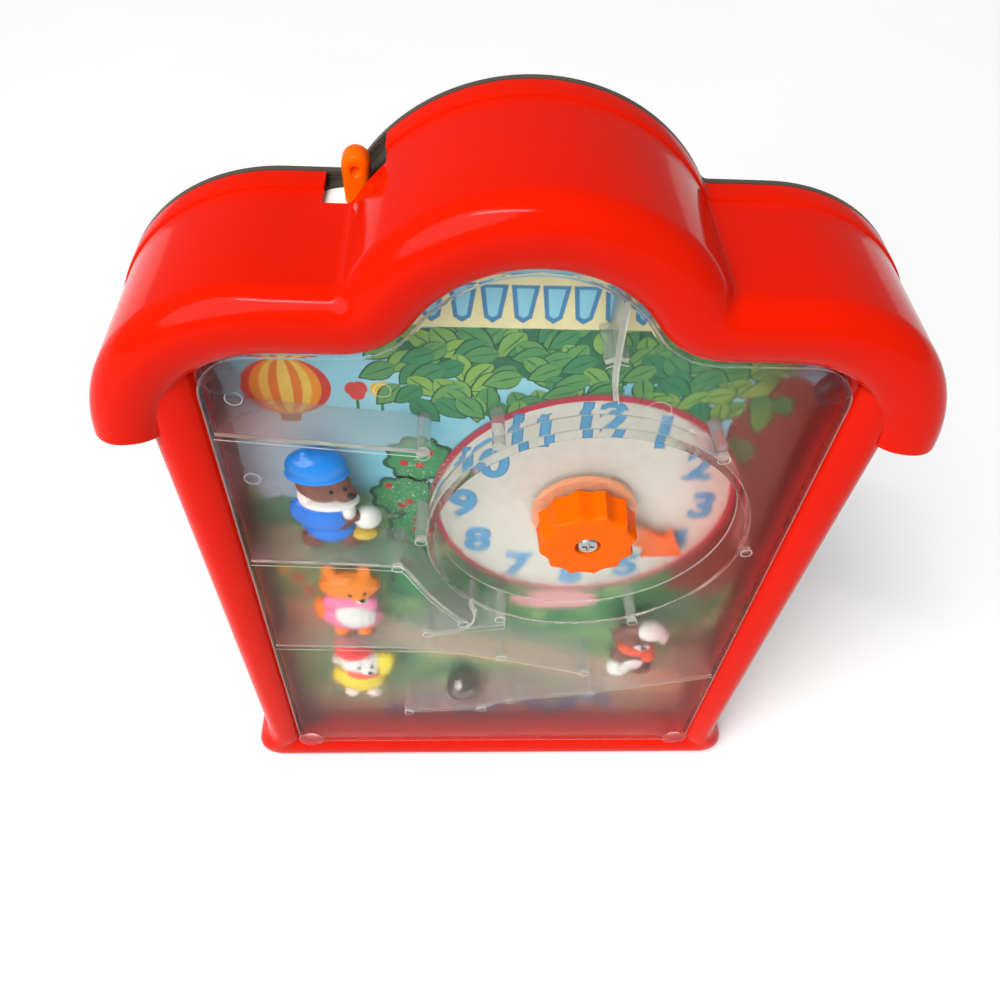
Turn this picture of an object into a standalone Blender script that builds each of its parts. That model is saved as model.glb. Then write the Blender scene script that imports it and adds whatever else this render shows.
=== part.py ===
"""Toy clock: a roofed case with a clear ball maze, a hand turned by a knob, and swinging figures.

X runs to the viewer's right, Y from the front to the back and Z up. All sizes are in metres.
The origin is the middle of the flat base. A depth is measured backwards from the window's front face.
"""

import math

import bmesh
import bpy
import numpy as np
from mathutils import Matrix, Vector

# Clearances
GAP = 0.0003            # between pieces that touch
PLAY = 0.0006           # between pieces that must move past each other
OVERRUN = 0.002         # how far a cutter passes the face that it opens
LAP = 0.0005            # how far a rib or boss runs into the wall that it grows from

# The case seen from the front
PEAK_HEIGHT = 0.332
SHOULDER_DROP = 0.0305  # from the peak down to the shoulders
EAVE_DROP = 0.0555      # from the shoulders down to the eaves
ROOF_MARGIN = 0.036     # from the window opening's side out to the eaves
SIDE_MARGIN = 0.020     # from the opening's side out to the body under the eaves
WAIST_MARGIN = 0.016
FOOT_MARGIN = 0.023
LOBE_RADIUS = 0.060
ARCH_RADIUS = 0.0625
VALLEY_RADIUS = 0.004
FOOT_HEIGHT = 0.026
FOOT_CORNER_RADIUS = 0.008
SIDE_LAP = 0.024        # how far the sides run up behind the roof's bead

# The case seen from the side
CASE_DEPTH = 0.059
WALL = 0.0022
RIM_WIDTH = 0.009
RIM_RAISE = 0.0008
ROOF_BEAD_WIDTH = 0.022
ROOF_CREST_RISE = 0.004
ROOF_EDGE_DEPTH = 0.003
SIDE_BEAD_WIDTH = 0.019
SIDE_CREST_RISE = 0.001
SIDE_EDGE_DEPTH = 0.004
BEAD_FALL = 0.010       # from a bead's crest back to where the outer wall is straight
CREST_SHARE = 0.45      # where a bead's crest lies across its width
SKIRT_WALL = 0.002

# The window opening
OPENING_HALF_WIDTH = 0.099
OPENING_FOOT = 0.020
OPENING_CORNER_RADIUS = 0.017
OPENING_FOOT_RADIUS = 0.004
OPENING_VALLEY_RADIUS = 0.024

# The clear window with its dial well, ribs and posts
PANEL_THICKNESS = 0.002
MAZE_WALL = 0.0016
MAZE_DEPTH = 0.0164     # clear space between the panel and the card
EAR_RADIUS = 0.0065
EAR_REACH = 0.003       # from the opening's edge inwards to an ear's centre
POST_RADIUS = 0.0022
DIAL_MARGIN = 0.0725    # from the dial's centre to the opening's right side
DIAL_UP_SHARE = 0.6613  # of the opening's height
WELL_RADIUS = 0.0565
WELL_WALL = 0.002
WELL_FLOOR_DEPTH = 0.011
WELL_FLOOR = 0.002

# The card and the chassis behind the maze
CARD_THICKNESS = 0.0008
CHASSIS_THICKNESS = 0.0025
CHASSIS_MARGIN = 0.0078
CHASSIS_SCREW_RISE = 0.050  # from the opening's foot up to the lower screws
CHASSIS_SCREW_DROP = 0.041  # from the eaves down to the upper screws

# The hand and its drive
SHAFT_RADIUS = 0.004
SHAFT_FLAT = 0.0031
HAND_THICKNESS = 0.0024
HAND_DISC_RADIUS = 0.020
HAND_REACH = 0.0495
HAND_BARB_REACH = 0.036
HAND_BARB_HALF_WIDTH = 0.0095
HAND_NECK_HALF_WIDTH = 0.0045
HAND_BOSS_RADIUS = 0.0075
HAND_ANGLE = -31        # degrees from the viewer's right: four o'clock
KNOB_RADIUS = 0.0173
KNOB_RISE = 0.002
KNOB_FLUTES = 12
FLUTE_DEPTH = 0.0016
KNOB_EDGE = 0.001
KNOB_DRAFT = 0.0006
KNOB_RECESS_RADIUS = 0.0047
KNOB_RECESS_DEPTH = 0.0026
BEARING_RADIUS = 0.0075
BEARING_LENGTH = 0.0075
CLICK_TEETH = 12
CLICK_RADIUS = 0.013
CLICK_TOOTH_DEPTH = 0.0016
CLICK_THICKNESS = 0.003
RETAINER_RADIUS = 0.0065
RETAINER_THICKNESS = 0.001
SHAFT_TAIL = 0.002

# The click spring
LEAF_THICKNESS = 0.0008
LEAF_WIDTH = 0.003
LEAF_REACH = 0.030
LEAF_NOSE = 0.0011

# Screws
SCREW_RADIUS = 0.0013
SCREW_HEAD_RADIUS = 0.0026
SCREW_HEAD_HEIGHT = 0.0012
COVER_BOSS_RADIUS = 0.0033
COVER_SCREW_BITE = 0.010
KNOB_SCREW_RADIUS = 0.0015
KNOB_SCREW_HEAD_RADIUS = 0.004
KNOB_SCREW_HEAD_HEIGHT = 0.0018
CROSS_WIDTH = 0.001
CROSS_REACH_SHARE = 0.55

# The rear cover
COVER_THICKNESS = 0.0024
COVER_EDGE = 0.0008
LIP_THICKNESS = 0.0016
LIP_DEPTH = 0.0058
COVER_BOSS_Z = 0.008
COVER_BOSS_MARGIN = 0.011   # from the waist's side inwards
TOP_BOSS_DROP = 0.0097  # from the peak down to the boss under it
LOBE_BOSS_MARGIN = 0.016    # from the roof's side inwards
LOBE_BOSS_RISE = 0.012      # above the eaves

# The lever
NOTCH_WIDTH = 0.0195
NOTCH_DEPTH = 0.016
LEVER_WIDTH = 0.0084
LEVER_THICKNESS = 0.0075
LEVER_RISE = 0.014          # above the shoulders
LEVER_PIVOT_DROP = 0.0395   # from the shoulder down to the pivot
LEVER_HUB_RADIUS = 0.006
LEVER_ARM_THICKNESS = 0.005
LEVER_ARM_REACH = 0.018
LEVER_SHOULDER = 0.001
LEVER_DIMPLE_RADIUS = 0.0018
LEVER_BACK_PLAY = 0.001     # from the lever back to the cover's lip
LEVER_PIN_RADIUS = 0.0018
LEVER_PIN_HEAD_RADIUS = 0.0034
LEVER_PIN_HEAD_HEIGHT = 0.0012
LEVER_BOSS_RADIUS = 0.005
LEVER_STOP_RADIUS = 0.0016
LEVER_STOP_HEIGHT = 0.023   # above the pivot
SHUTTER_WALL = 0.0015
SHUTTER_RADIUS = 0.0345
SHUTTER_DEPTH = 0.0145
SHUTTER_SWEEP = 26          # degrees to each side of the lever
SPRING_RADIUS = 0.003
SPRING_WIRE_RADIUS = 0.0004
SPRING_LENGTH = 0.016
SPRING_TURNS = 6
SPRING_SHELF = 0.0025

# The ball and the figures
BALL_RADIUS = 0.008
BALL_START_SHARE = 0.53     # along the low ramp, from its stop
FIGURE_THICKNESS = 0.0130
FIGURE_FOOT_PLAY = 0.0022
FIGURE_HEAD_PLAY = 0.0030
PIN_RADIUS = 0.0015
PIN_HEAD_RADIUS = 0.0026
PIN_HEAD_HEIGHT = 0.001
PIN_REACH = 0.009           # from the card forward into a figure

# Maze ribs: points across half the opening's width and up its height, as shares
RIB_SHARES = {
    "ramp_top": [(-1.01, 0.869), (-0.33, 0.842)],
    "ramp_upper": [(-1.0, 0.6066), (-0.4384, 0.5954), (-0.402, 0.582), (-0.3838, 0.5645),
                   (-0.2990, 0.5017), (-0.1838, 0.4428)],
    "ramp_middle": [(-1.0, 0.366), (-0.464, 0.358), (-0.258, 0.358), (-0.010, 0.331), (0.381, 0.277)],
    "ramp_low": [(1.0, 0.262), (0.433, 0.200), (0.052, 0.170), (-0.010, 0.162), (-0.082, 0.139),
                 (-0.433, 0.127)],
    "divider_stem": [(0.2657, 0.9356), (0.2455, 0.9707), (0.2404, 1.0405), (0.2404, 1.083)],
    "divider_arms": [(0.2091, 0.9946), (0.2445, 1.0008), (0.2788, 0.9981)],
}
RIB_POST_SHARES = [(-0.33, 0.842), (-0.4384, 0.5954), (-0.1838, 0.4428), (-0.010, 0.331), (0.381, 0.277),
                   (0.433, 0.200), (0.052, 0.170), (-0.082, 0.139), (-0.433, 0.127)]
HOOK_START = 224            # degrees round the dial where the hooked guide leaves the well
HOOK_END = 241
HOOK_DOWN_SHARES = [(-0.6863, -0.9152), (-0.7406, -1.0714), (-0.8475, -1.1265), (-1.0473, -1.1587)]
HOOK_BACK_SHARE = (-0.4865, -1.0576)
WELL_POST_ANGLES = [-65, -5, 50, 125, 180, 241]

# Figures: each form is (across, up, half width, half height, half depth), as shares of the height
FIGURES = {
    "bear_figure": {
        "side": "left", "across_share": 0.500, "floor": "ramp_upper", "ceiling": "ramp_top",
        "height_share": 0.868,
        "colour": (0.02, 0.20, 0.55),
        "forms_shares": [(0.00, 0.36, 0.20, 0.25, 0.128), (0.00, 0.70, 0.185, 0.17, 0.122),
                         (0.00, 0.85, 0.175, 0.145, 0.115), (-0.13, 0.11, 0.12, 0.105, 0.110),
                         (0.13, 0.11, 0.12, 0.105, 0.110), (-0.21, 0.38, 0.085, 0.14, 0.090),
                         (0.21, 0.38, 0.085, 0.14, 0.090), (0.00, 0.545, 0.20, 0.06, 0.124)],
    },
    "fox_figure": {
        "side": "left", "across_share": 0.581, "floor": "ramp_middle", "ceiling": "ramp_upper",
        "height_share": 0.881,
        "colour": (0.85, 0.35, 0.50),
        "forms_shares": [(0.00, 0.30, 0.245, 0.25, 0.128), (0.00, 0.50, 0.165, 0.19, 0.115),
                         (0.00, 0.74, 0.215, 0.165, 0.122), (-0.13, 0.89, 0.070, 0.105, 0.060),
                         (0.13, 0.89, 0.070, 0.105, 0.060), (-0.11, 0.06, 0.095, 0.06, 0.090),
                         (0.11, 0.06, 0.095, 0.06, 0.090), (-0.27, 0.26, 0.085, 0.17, 0.080)],
    },
    "lamb_figure": {
        "side": "left", "across_share": 0.523, "floor": "foot", "ceiling": "ramp_middle",
        "height_share": 0.60,
        "colour": (0.85, 0.75, 0.10),
        "forms_shares": [(0.00, 0.30, 0.23, 0.26, 0.130), (0.00, 0.60, 0.215, 0.16, 0.125),
                         (0.00, 0.78, 0.165, 0.12, 0.115), (0.02, 0.88, 0.085, 0.12, 0.080),
                         (-0.12, 0.07, 0.11, 0.07, 0.110), (0.12, 0.07, 0.11, 0.07, 0.110),
                         (0.22, 0.38, 0.13, 0.075, 0.090), (-0.22, 0.34, 0.09, 0.13, 0.090)],
    },
    "puppy_figure": {
        "side": "right", "across_share": 0.466, "floor": "ramp_low", "ceiling": "well",
        "height_share": 0.86,
        "colour": (0.35, 0.15, 0.08),
        "forms_shares": [(0.00, 0.34, 0.21, 0.24, 0.128), (0.02, 0.72, 0.205, 0.18, 0.124),
                         (-0.11, 0.09, 0.12, 0.09, 0.112), (0.13, 0.09, 0.12, 0.09, 0.112),
                         (-0.17, 0.70, 0.065, 0.15, 0.080), (0.21, 0.70, 0.065, 0.15, 0.080),
                         (0.00, 0.53, 0.19, 0.06, 0.122), (0.21, 0.32, 0.08, 0.13, 0.085)],
    },
}
FIGURE_PIVOT_SHARE = 0.56   # height of a figure's pin above its feet
FIGURE_TALL_SHARE = 1.05    # a figure's greatest height, of the room beside the dial
FIGURE_DEEPEST_SHARE = 0.130

# Places that follow from the sizes
FRONT_Y = -CASE_DEPTH / 2
SHOULDER_HEIGHT = PEAK_HEIGHT - SHOULDER_DROP
EAVE_HEIGHT = SHOULDER_HEIGHT - EAVE_DROP
ROOF_HALF_WIDTH = OPENING_HALF_WIDTH + ROOF_MARGIN
SIDE_HALF_WIDTH = OPENING_HALF_WIDTH + SIDE_MARGIN
WAIST_HALF_WIDTH = OPENING_HALF_WIDTH + WAIST_MARGIN
FOOT_HALF_WIDTH = OPENING_HALF_WIDTH + FOOT_MARGIN
LOBE_X = ROOF_HALF_WIDTH - LOBE_RADIUS
LOBE_Z = SHOULDER_HEIGHT - LOBE_RADIUS
ARCH_Z = PEAK_HEIGHT - ARCH_RADIUS
SIDE_TOP = EAVE_HEIGHT + SIDE_LAP
OPENING_TOP = SHOULDER_HEIGHT - ROOF_BEAD_WIDTH
OPENING_HEIGHT = OPENING_TOP - OPENING_FOOT
DIAL_X = OPENING_HALF_WIDTH - DIAL_MARGIN
DIAL_Z = OPENING_FOOT + DIAL_UP_SHARE * OPENING_HEIGHT
CARD_DEPTH = PANEL_THICKNESS + MAZE_DEPTH + GAP
MAZE_END = CARD_DEPTH - GAP
CHASSIS_DEPTH = CARD_DEPTH + CARD_THICKNESS + GAP
CHASSIS_BACK = CHASSIS_DEPTH + CHASSIS_THICKNESS
COVER_DEPTH = CASE_DEPTH + GAP
LIP_START = COVER_DEPTH - LIP_DEPTH
CHASSIS_BOSS_OFFSET = (CHASSIS_MARGIN + SKIRT_WALL) / 2
CHASSIS_BOSS_RADIUS = (CHASSIS_MARGIN - SKIRT_WALL) / 2 - GAP
FLOOR_BACK = WELL_FLOOR_DEPTH + WELL_FLOOR
KNOB_BASE = WELL_FLOOR_DEPTH - GAP
HAND_DEPTH = FLOOR_BACK + PLAY
BEARING_BACK = CHASSIS_BACK + BEARING_LENGTH
CLICK_DEPTH = BEARING_BACK + GAP
RETAINER_DEPTH = CLICK_DEPTH + CLICK_THICKNESS + GAP
SHAFT_BACK = RETAINER_DEPTH + RETAINER_THICKNESS + SHAFT_TAIL
SHAFT_FRONT = KNOB_RECESS_DEPTH - KNOB_RISE + KNOB_EDGE
LEVER_BACK = LIP_START - LEVER_BACK_PLAY
LEVER_FRONT = LEVER_BACK - LEVER_THICKNESS
NOTCH_LEFT = -ARCH_RADIUS
LEVER_X = NOTCH_LEFT + NOTCH_WIDTH / 2 + PLAY
LEVER_TOP = SHOULDER_HEIGHT + LEVER_RISE
LEVER_Z = SHOULDER_HEIGHT - LEVER_PIVOT_DROP
BALL_DEPTH = PANEL_THICKNESS + (CARD_DEPTH - PANEL_THICKNESS) / 2
DIAL = (DIAL_X, DIAL_Z)


def y_at(depth):
    """World Y of a depth behind the window's front face."""
    return FRONT_Y + depth


def arc(centre, radius, start, stop, steps):
    """Points round a centre, from one angle to another in degrees."""
    angles = np.radians(np.linspace(start, stop, steps + 1))
    return [(centre[0] + radius * math.cos(a), centre[1] + radius * math.sin(a)) for a in angles]


def mirrored(right):
    """A closed outline from its right half, which runs up the right side."""
    left = [(-x, z) for x, z in reversed(right) if abs(x) > GAP / 10]
    return right + left


def crown(arch_radius, valley_radius, shoulder, steps):
    """Right half of an arch and the valley that joins it to its shoulder."""
    rise = shoulder + valley_radius - ARCH_Z
    run = math.sqrt((arch_radius + valley_radius) ** 2 - rise ** 2)
    angle = math.degrees(math.atan2(rise, run))
    valley = arc((run, ARCH_Z + rise), valley_radius, -90, angle - 180, steps // 2)
    arch = arc((0, ARCH_Z), arch_radius, angle, 90, steps)
    return valley + arch[1:-1] + [(0, ARCH_Z + arch_radius)]


def roof_outline(inset, lift=None):
    """The roof: round eaves, flat shoulders and the arch, closed by a flat cut that may be lifted."""
    radius = LOBE_RADIUS - inset
    cut_height = EAVE_HEIGHT - LOBE_Z + (inset if lift is None else lift)
    start = math.degrees(math.asin(cut_height / radius))
    lobe = arc((LOBE_X, LOBE_Z), radius, start, 90, 8)
    return mirrored(lobe + crown(ARCH_RADIUS - inset, VALLEY_RADIUS + inset, SHOULDER_HEIGHT - inset, 8))


def body_outline(inset):
    """The body: flat base, flared foot and nearly upright sides that end behind the roof."""
    corner = max(FOOT_CORNER_RADIUS - inset, GAP)
    half = FOOT_HALF_WIDTH - inset
    low = max(inset, 0)
    right = arc((half - corner, low + corner), corner, -90, 0, 4)
    for share in np.linspace(0, 1, 6)[1:]:
        z = FOOT_CORNER_RADIUS + share * (FOOT_HEIGHT - FOOT_CORNER_RADIUS)
        flare = (FOOT_HALF_WIDTH - WAIST_HALF_WIDTH) * (1 + math.cos(math.pi * share)) / 2
        right.append((WAIST_HALF_WIDTH + flare - inset, max(z, low + corner + GAP * (1 + share))))
    right.append((SIDE_HALF_WIDTH - inset, SIDE_TOP))
    left = [(-x, z) for x, z in reversed(right)]
    return left + right


def opening_outline(inset):
    """The window opening: flat foot, upright sides, round shoulders and the arch."""
    half = OPENING_HALF_WIDTH - inset
    top = OPENING_TOP - inset
    foot_radius = OPENING_FOOT_RADIUS - inset
    corner = OPENING_CORNER_RADIUS - inset
    foot = arc((half - foot_radius, OPENING_FOOT + inset + foot_radius), foot_radius, -90, 0, 3)
    shoulder = arc((half - corner, top - corner), corner, 0, 90, 5)
    arch_radius = ARCH_RADIUS - ROOF_BEAD_WIDTH - inset
    return mirrored(foot + shoulder + crown(arch_radius, OPENING_VALLEY_RADIUS + inset, top, 8))


def opening_point(across, up):
    """A point of the maze from its shares of the opening's half width and height."""
    return across * OPENING_HALF_WIDTH, OPENING_FOOT + up * OPENING_HEIGHT


def dial_point(across, up):
    """A point near the dial from its shares of the well's radius."""
    return DIAL_X + across * WELL_RADIUS, DIAL_Z + up * WELL_RADIUS


def circle(centre, radius, sides):
    """Corner points of a round hole or disc."""
    return arc(centre, radius, 0, 360, sides)[:-1]


def polar(angle, radius):
    """A point round the dial's centre."""
    return arc(DIAL, radius, angle, angle, 1)[0]


def material(name, colour, roughness, metallic=0.0, alpha=1.0):
    """A Principled material."""
    made = bpy.data.materials.new(name)
    made.use_nodes = True
    shader = made.node_tree.nodes["Principled BSDF"]
    shader.inputs["Base Color"].default_value = (*colour, 1)
    shader.inputs["Roughness"].default_value = roughness
    shader.inputs["Metallic"].default_value = metallic
    shader.inputs["Alpha"].default_value = alpha
    made.diffuse_color = (*colour, alpha)
    return made


class Workshop:
    """The scene's collections, and the pieces and cutters made in them."""

    def __init__(self, name):
        for old in list(bpy.data.objects):
            bpy.data.objects.remove(old, do_unlink=True)
        self.parts = bpy.data.collections.new(name)
        self.tools = bpy.data.collections.new(name + "_cutters")
        bpy.context.scene.collection.children.link(self.parts)
        bpy.context.scene.collection.children.link(self.tools)

    def tool(self, name, mesh):
        """An object that only shapes others."""
        made = bpy.data.objects.new(name, mesh)
        made.hide_render = True
        made.display_type = "WIRE"
        self.tools.objects.link(made)
        return made

    def keep(self, made, name, finish, origin=(0, 0, 0), parent=None):
        """Turn a shape into a finished piece, with its origin where it is carried."""
        self.tools.objects.unlink(made)
        self.parts.objects.link(made)
        made.name = name
        made.hide_render = False
        made.display_type = "TEXTURED"
        made.data.materials.clear()
        made.data.materials.append(finish)
        if made.matrix_world == Matrix.Identity(4):
            made.data.transform(Matrix.Translation(-Vector(origin)))
            made.location = origin
        if parent:
            made.parent = parent
            made.matrix_parent_inverse = parent.matrix_world.inverted()
        made.data.shade_smooth()
        made.data.set_sharp_from_angle(angle=math.radians(35))
        return made

    def empty(self, name, origin):
        """The axis that a moving group turns on."""
        made = bpy.data.objects.new(name, None)
        made.location = origin
        self.parts.objects.link(made)
        bpy.context.view_layer.update()
        return made


shop = Workshop("toy_clock")


def mesh_from(shape, name):
    """A mesh object from a bmesh, with its faces pointing out."""
    bmesh.ops.recalc_face_normals(shape, faces=shape.faces)
    mesh = bpy.data.meshes.new(name)
    shape.to_mesh(mesh)
    shape.free()
    return shop.tool(name, mesh)


def loft(name, rings, flat_end=False):
    """A closed solid through rings of equal count: each ring is an outline and its depth.

    With a flat end, the straight stretch from an outline's last point to its first is one flat face.
    """
    shape = bmesh.new()
    rows = [[shape.verts.new((x, y_at(depth), z)) for x, z in outline] for outline, depth in rings]
    first = 1 if flat_end else 0
    for near, far in zip(rows, rows[1:]):
        for i in range(first, len(near)):
            shape.faces.new((near[i - 1], near[i], far[i], far[i - 1]))
    shape.faces.new(rows[0])
    shape.faces.new(rows[-1])
    if flat_end:
        shape.faces.new([row[0] for row in rows] + [row[-1] for row in reversed(rows)])
    return mesh_from(shape, name)


def plate(name, loops, front, back):
    """A flat piece: outlines, the first outside and the rest holes, between two depths."""
    curve = bpy.data.curves.new(name, "CURVE")
    curve.dimensions = "2D"
    curve.fill_mode = "BOTH"
    curve.extrude = (back - front) / 2
    for loop in loops:
        spline = curve.splines.new("POLY")
        spline.points.add(len(loop) - 1)
        spline.points.foreach_set("co", [value for x, z in loop for value in (x, z, 0, 1)])
        spline.use_cyclic_u = True
    guide = shop.tool(name, curve)
    turn = Matrix.Translation((0, y_at((front + back) / 2), 0)) @ Matrix.Rotation(math.pi / 2, 4, "X")
    return solid_from_curve(guide, turn)


def solid_from_curve(guide, turn):
    """A welded mesh in place of a filled curve."""
    depsgraph = bpy.context.evaluated_depsgraph_get()
    mesh = bpy.data.meshes.new_from_object(guide.evaluated_get(depsgraph))
    shape = bmesh.new()
    shape.from_mesh(mesh)
    bmesh.ops.remove_doubles(shape, verts=shape.verts, dist=GAP / 30)
    bmesh.ops.transform(shape, matrix=turn, verts=shape.verts)
    name = guide.name
    bpy.data.objects.remove(guide)
    return mesh_from(shape, name)


def rod(name, centre, radius, front, back, sides=16, tip_radius=None):
    """A round bar from front to back, or a cone where its front end has another radius."""
    shape = bmesh.new()
    length = back - front
    bmesh.ops.create_cone(shape, cap_ends=True, segments=sides, radius1=radius,
                          radius2=radius if tip_radius is None else tip_radius, depth=length)
    place = Matrix.Translation((centre[0], y_at((front + back) / 2), centre[1]))
    bmesh.ops.transform(shape, matrix=place @ Matrix.Rotation(math.pi / 2, 4, "X"), verts=shape.verts)
    return mesh_from(shape, name)


def block(name, low, high, front, back):
    """A box between two corners in X and Z and two depths."""
    shape = bmesh.new()
    bmesh.ops.create_cube(shape, size=1)
    middle = ((low[0] + high[0]) / 2, y_at((front + back) / 2), (low[1] + high[1]) / 2)
    sizes = Matrix.Diagonal((high[0] - low[0], back - front, high[1] - low[1], 1))
    bmesh.ops.transform(shape, matrix=Matrix.Translation(middle) @ sizes, verts=shape.verts)
    return mesh_from(shape, name)


def ball(name, centre, depth, half_sizes, columns, rows):
    """An egg shape from its centre and its half width, half depth and half height."""
    shape = bmesh.new()
    bmesh.ops.create_uvsphere(shape, u_segments=columns, v_segments=rows, radius=1)
    place = Matrix.Translation((centre[0], y_at(depth), centre[1]))
    bmesh.ops.transform(shape, matrix=place @ Matrix.Diagonal((*half_sizes, 1)), verts=shape.verts)
    return mesh_from(shape, name)


def turned(name, centre, profile, steps):
    """A turned piece about a front-to-back axis, from (radius, depth) points, front to back."""
    mesh = bpy.data.meshes.new(name)
    points = [(radius, 0, -y_at(depth)) for radius, depth in profile]
    mesh.from_pydata(points, [(i, i + 1) for i in range(len(points) - 1)], [])
    made = shop.tool(name, mesh)
    spin = made.modifiers.new("Turning", "SCREW")
    spin.steps = steps
    spin.render_steps = steps
    spin.use_merge_vertices = True
    spin.merge_threshold = GAP / 30
    made.rotation_euler = (math.pi / 2, 0, 0)
    made.location = (centre[0], 0, centre[1])
    bpy.context.view_layer.update()
    return made


def change(target, tool, operation):
    """Cut, join or trim one shape with another."""
    step = target.modifiers.new(tool.name, "BOOLEAN")
    step.operation = operation
    step.solver = "EXACT"
    step.object = tool
    return target


def cut(target, *tools):
    """Take tools away from a shape."""
    for tool in tools:
        change(target, tool, "DIFFERENCE")
    return target


def join(target, *tools):
    """Add tools to a shape."""
    for tool in tools:
        change(target, tool, "UNION")
    return target


def tidy(target):
    """Close up the hairline edges that cuts leave."""
    step = target.modifiers.new("Tidy", "WELD")
    step.merge_threshold = GAP / 4
    return target


def rib(name, points, thickness, front, back):
    """A standing wall along a path: an open strip given its thickness."""
    shape = bmesh.new()
    near = [shape.verts.new((x, y_at(front), z)) for x, z in points]
    far = [shape.verts.new((x, y_at(back), z)) for x, z in points]
    for i in range(len(points) - 1):
        shape.faces.new((near[i], near[i + 1], far[i + 1], far[i]))
    mesh = bpy.data.meshes.new(name)
    shape.to_mesh(mesh)
    shape.free()
    made = shop.tool(name, mesh)
    wall = made.modifiers.new("Thickness", "SOLIDIFY")
    wall.thickness = thickness
    wall.offset = 0
    wall.use_even_offset = True
    return made


def bead_rings(outline, width, rise, edge_depth, wall, steps):
    """Rings of a rounded bead, from the straight outer wall over the crest to the inner edge.

    A wall above zero gives the inside of the same bead, that far under its surface.
    """
    crest = width * CREST_SHARE
    rings = []
    for angle in np.radians(np.linspace(0, 90, steps + 1)):
        inset = wall + (crest - wall) * (1 - math.cos(angle))
        rings.append((outline(inset), wall - rise + BEAD_FALL * (1 - math.sin(angle))))
    fall = edge_depth + rise
    for angle in np.radians(np.linspace(0, 90, steps + 1))[1:]:
        inset = crest + (width - crest) * math.sin(angle)
        rings.append((outline(inset), wall - rise + fall * (1 - math.cos(angle))))
    return rings


def case_block(name, outline, width, rise, edge_depth):
    """The outer form of the roof or the body, with its raised back rim and its front bead."""
    back = [(outline(-RIM_RAISE), CASE_DEPTH), (outline(-RIM_RAISE), CASE_DEPTH - RIM_WIDTH),
            (outline(0), CASE_DEPTH - RIM_WIDTH - RIM_RAISE)]
    return loft(name, back + bead_rings(outline, width, rise, edge_depth, 0, 4), flat_end=True)


def case_hollow(name, outline, width, rise, edge_depth):
    """The space inside the roof or the body."""
    back = [(outline(WALL), CASE_DEPTH + OVERRUN)]
    return loft(name, back + bead_rings(outline, width, rise, edge_depth, WALL, 2), flat_end=True)


def cover_boss_places():
    """Centres of the bosses that take the rear cover's screws."""
    places = [(0, PEAK_HEIGHT - TOP_BOSS_DROP), (0, COVER_BOSS_Z)]
    for side in (-1, 1):
        places.append((side * (ROOF_HALF_WIDTH - LOBE_BOSS_MARGIN), EAVE_HEIGHT + LOBE_BOSS_RISE))
        places.append((side * (WAIST_HALF_WIDTH - COVER_BOSS_MARGIN), COVER_BOSS_Z))
    return places


def chassis_screw_places():
    """Centres of the chassis screws, just outside the window's skirt."""
    x = OPENING_HALF_WIDTH + CHASSIS_BOSS_OFFSET
    heights = (OPENING_FOOT + CHASSIS_SCREW_RISE, EAVE_HEIGHT - CHASSIS_SCREW_DROP)
    return [(side * x, z) for side in (-1, 1) for z in heights]


def ear_places():
    """Centres of the window's four corner ears."""
    reach = OPENING_CORNER_RADIUS * (1 - math.sqrt(0.5)) + EAR_REACH
    low = OPENING_FOOT + EAR_REACH
    side = OPENING_HALF_WIDTH - 2 * EAR_REACH
    return [(x * side, low) for x in (-1, 1)] + [
        (x * (OPENING_HALF_WIDTH - reach), OPENING_TOP - reach) for x in (-1, 1)]


def shell_core():
    """The space inside the case, which leaves the window's skirt and the screw bosses standing."""
    core = case_hollow("roof_hollow", lambda inset: roof_outline(inset, WALL), ROOF_BEAD_WIDTH,
                       ROOF_CREST_RISE, ROOF_EDGE_DEPTH)
    join(core, case_hollow("body_hollow", body_outline, SIDE_BEAD_WIDTH, SIDE_CREST_RISE, SIDE_EDGE_DEPTH))
    front = -ROOF_CREST_RISE - OVERRUN
    cut(core, plate("skirt_form", [opening_outline(-SKIRT_WALL)], front, MAZE_END))
    for place in cover_boss_places():
        cut(core, rod("cover_boss", place, COVER_BOSS_RADIUS, front, LIP_START - GAP, 10))
    for place in chassis_screw_places():
        cut(core, rod("chassis_boss", place, CHASSIS_BOSS_RADIUS, front, CHASSIS_DEPTH - GAP, 12))
    return core


def build_front_shell(red):
    """The one-piece front: roof and body with beads, skirt round the window, bosses and lever notch."""
    shell = case_block("roof_form", lambda inset: roof_outline(inset, 0), ROOF_BEAD_WIDTH,
                       ROOF_CREST_RISE, ROOF_EDGE_DEPTH)
    join(shell, case_block("body_form", body_outline, SIDE_BEAD_WIDTH, SIDE_CREST_RISE, SIDE_EDGE_DEPTH))
    cut(shell, shell_core())
    cut(shell, plate("opening", [opening_outline(0)], -ROOF_CREST_RISE - OVERRUN, MAZE_END + OVERRUN))
    for place in ear_places():
        cut(shell, rod("ear_pocket", place, EAR_RADIUS + GAP, -ROOF_CREST_RISE - OVERRUN,
                       PANEL_THICKNESS + GAP, 16))
    for place in cover_boss_places():
        cut(shell, rod("cover_screw_hole", place, SCREW_RADIUS + GAP, LIP_START - COVER_SCREW_BITE,
                       CASE_DEPTH + OVERRUN, 10))
    for place in chassis_screw_places():
        cut(shell, rod("chassis_screw_hole", place, SCREW_RADIUS + GAP, MAZE_END / 2,
                       CHASSIS_DEPTH + OVERRUN, 10))
    notch_low = (NOTCH_LEFT, SHOULDER_HEIGHT - NOTCH_DEPTH)
    notch_high = (NOTCH_LEFT + NOTCH_WIDTH, PEAK_HEIGHT)
    cut(shell, block("notch", notch_low, notch_high, CASE_DEPTH - NOTCH_DEPTH, CASE_DEPTH + OVERRUN))
    return shop.keep(tidy(shell), "front_shell", red)


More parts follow.
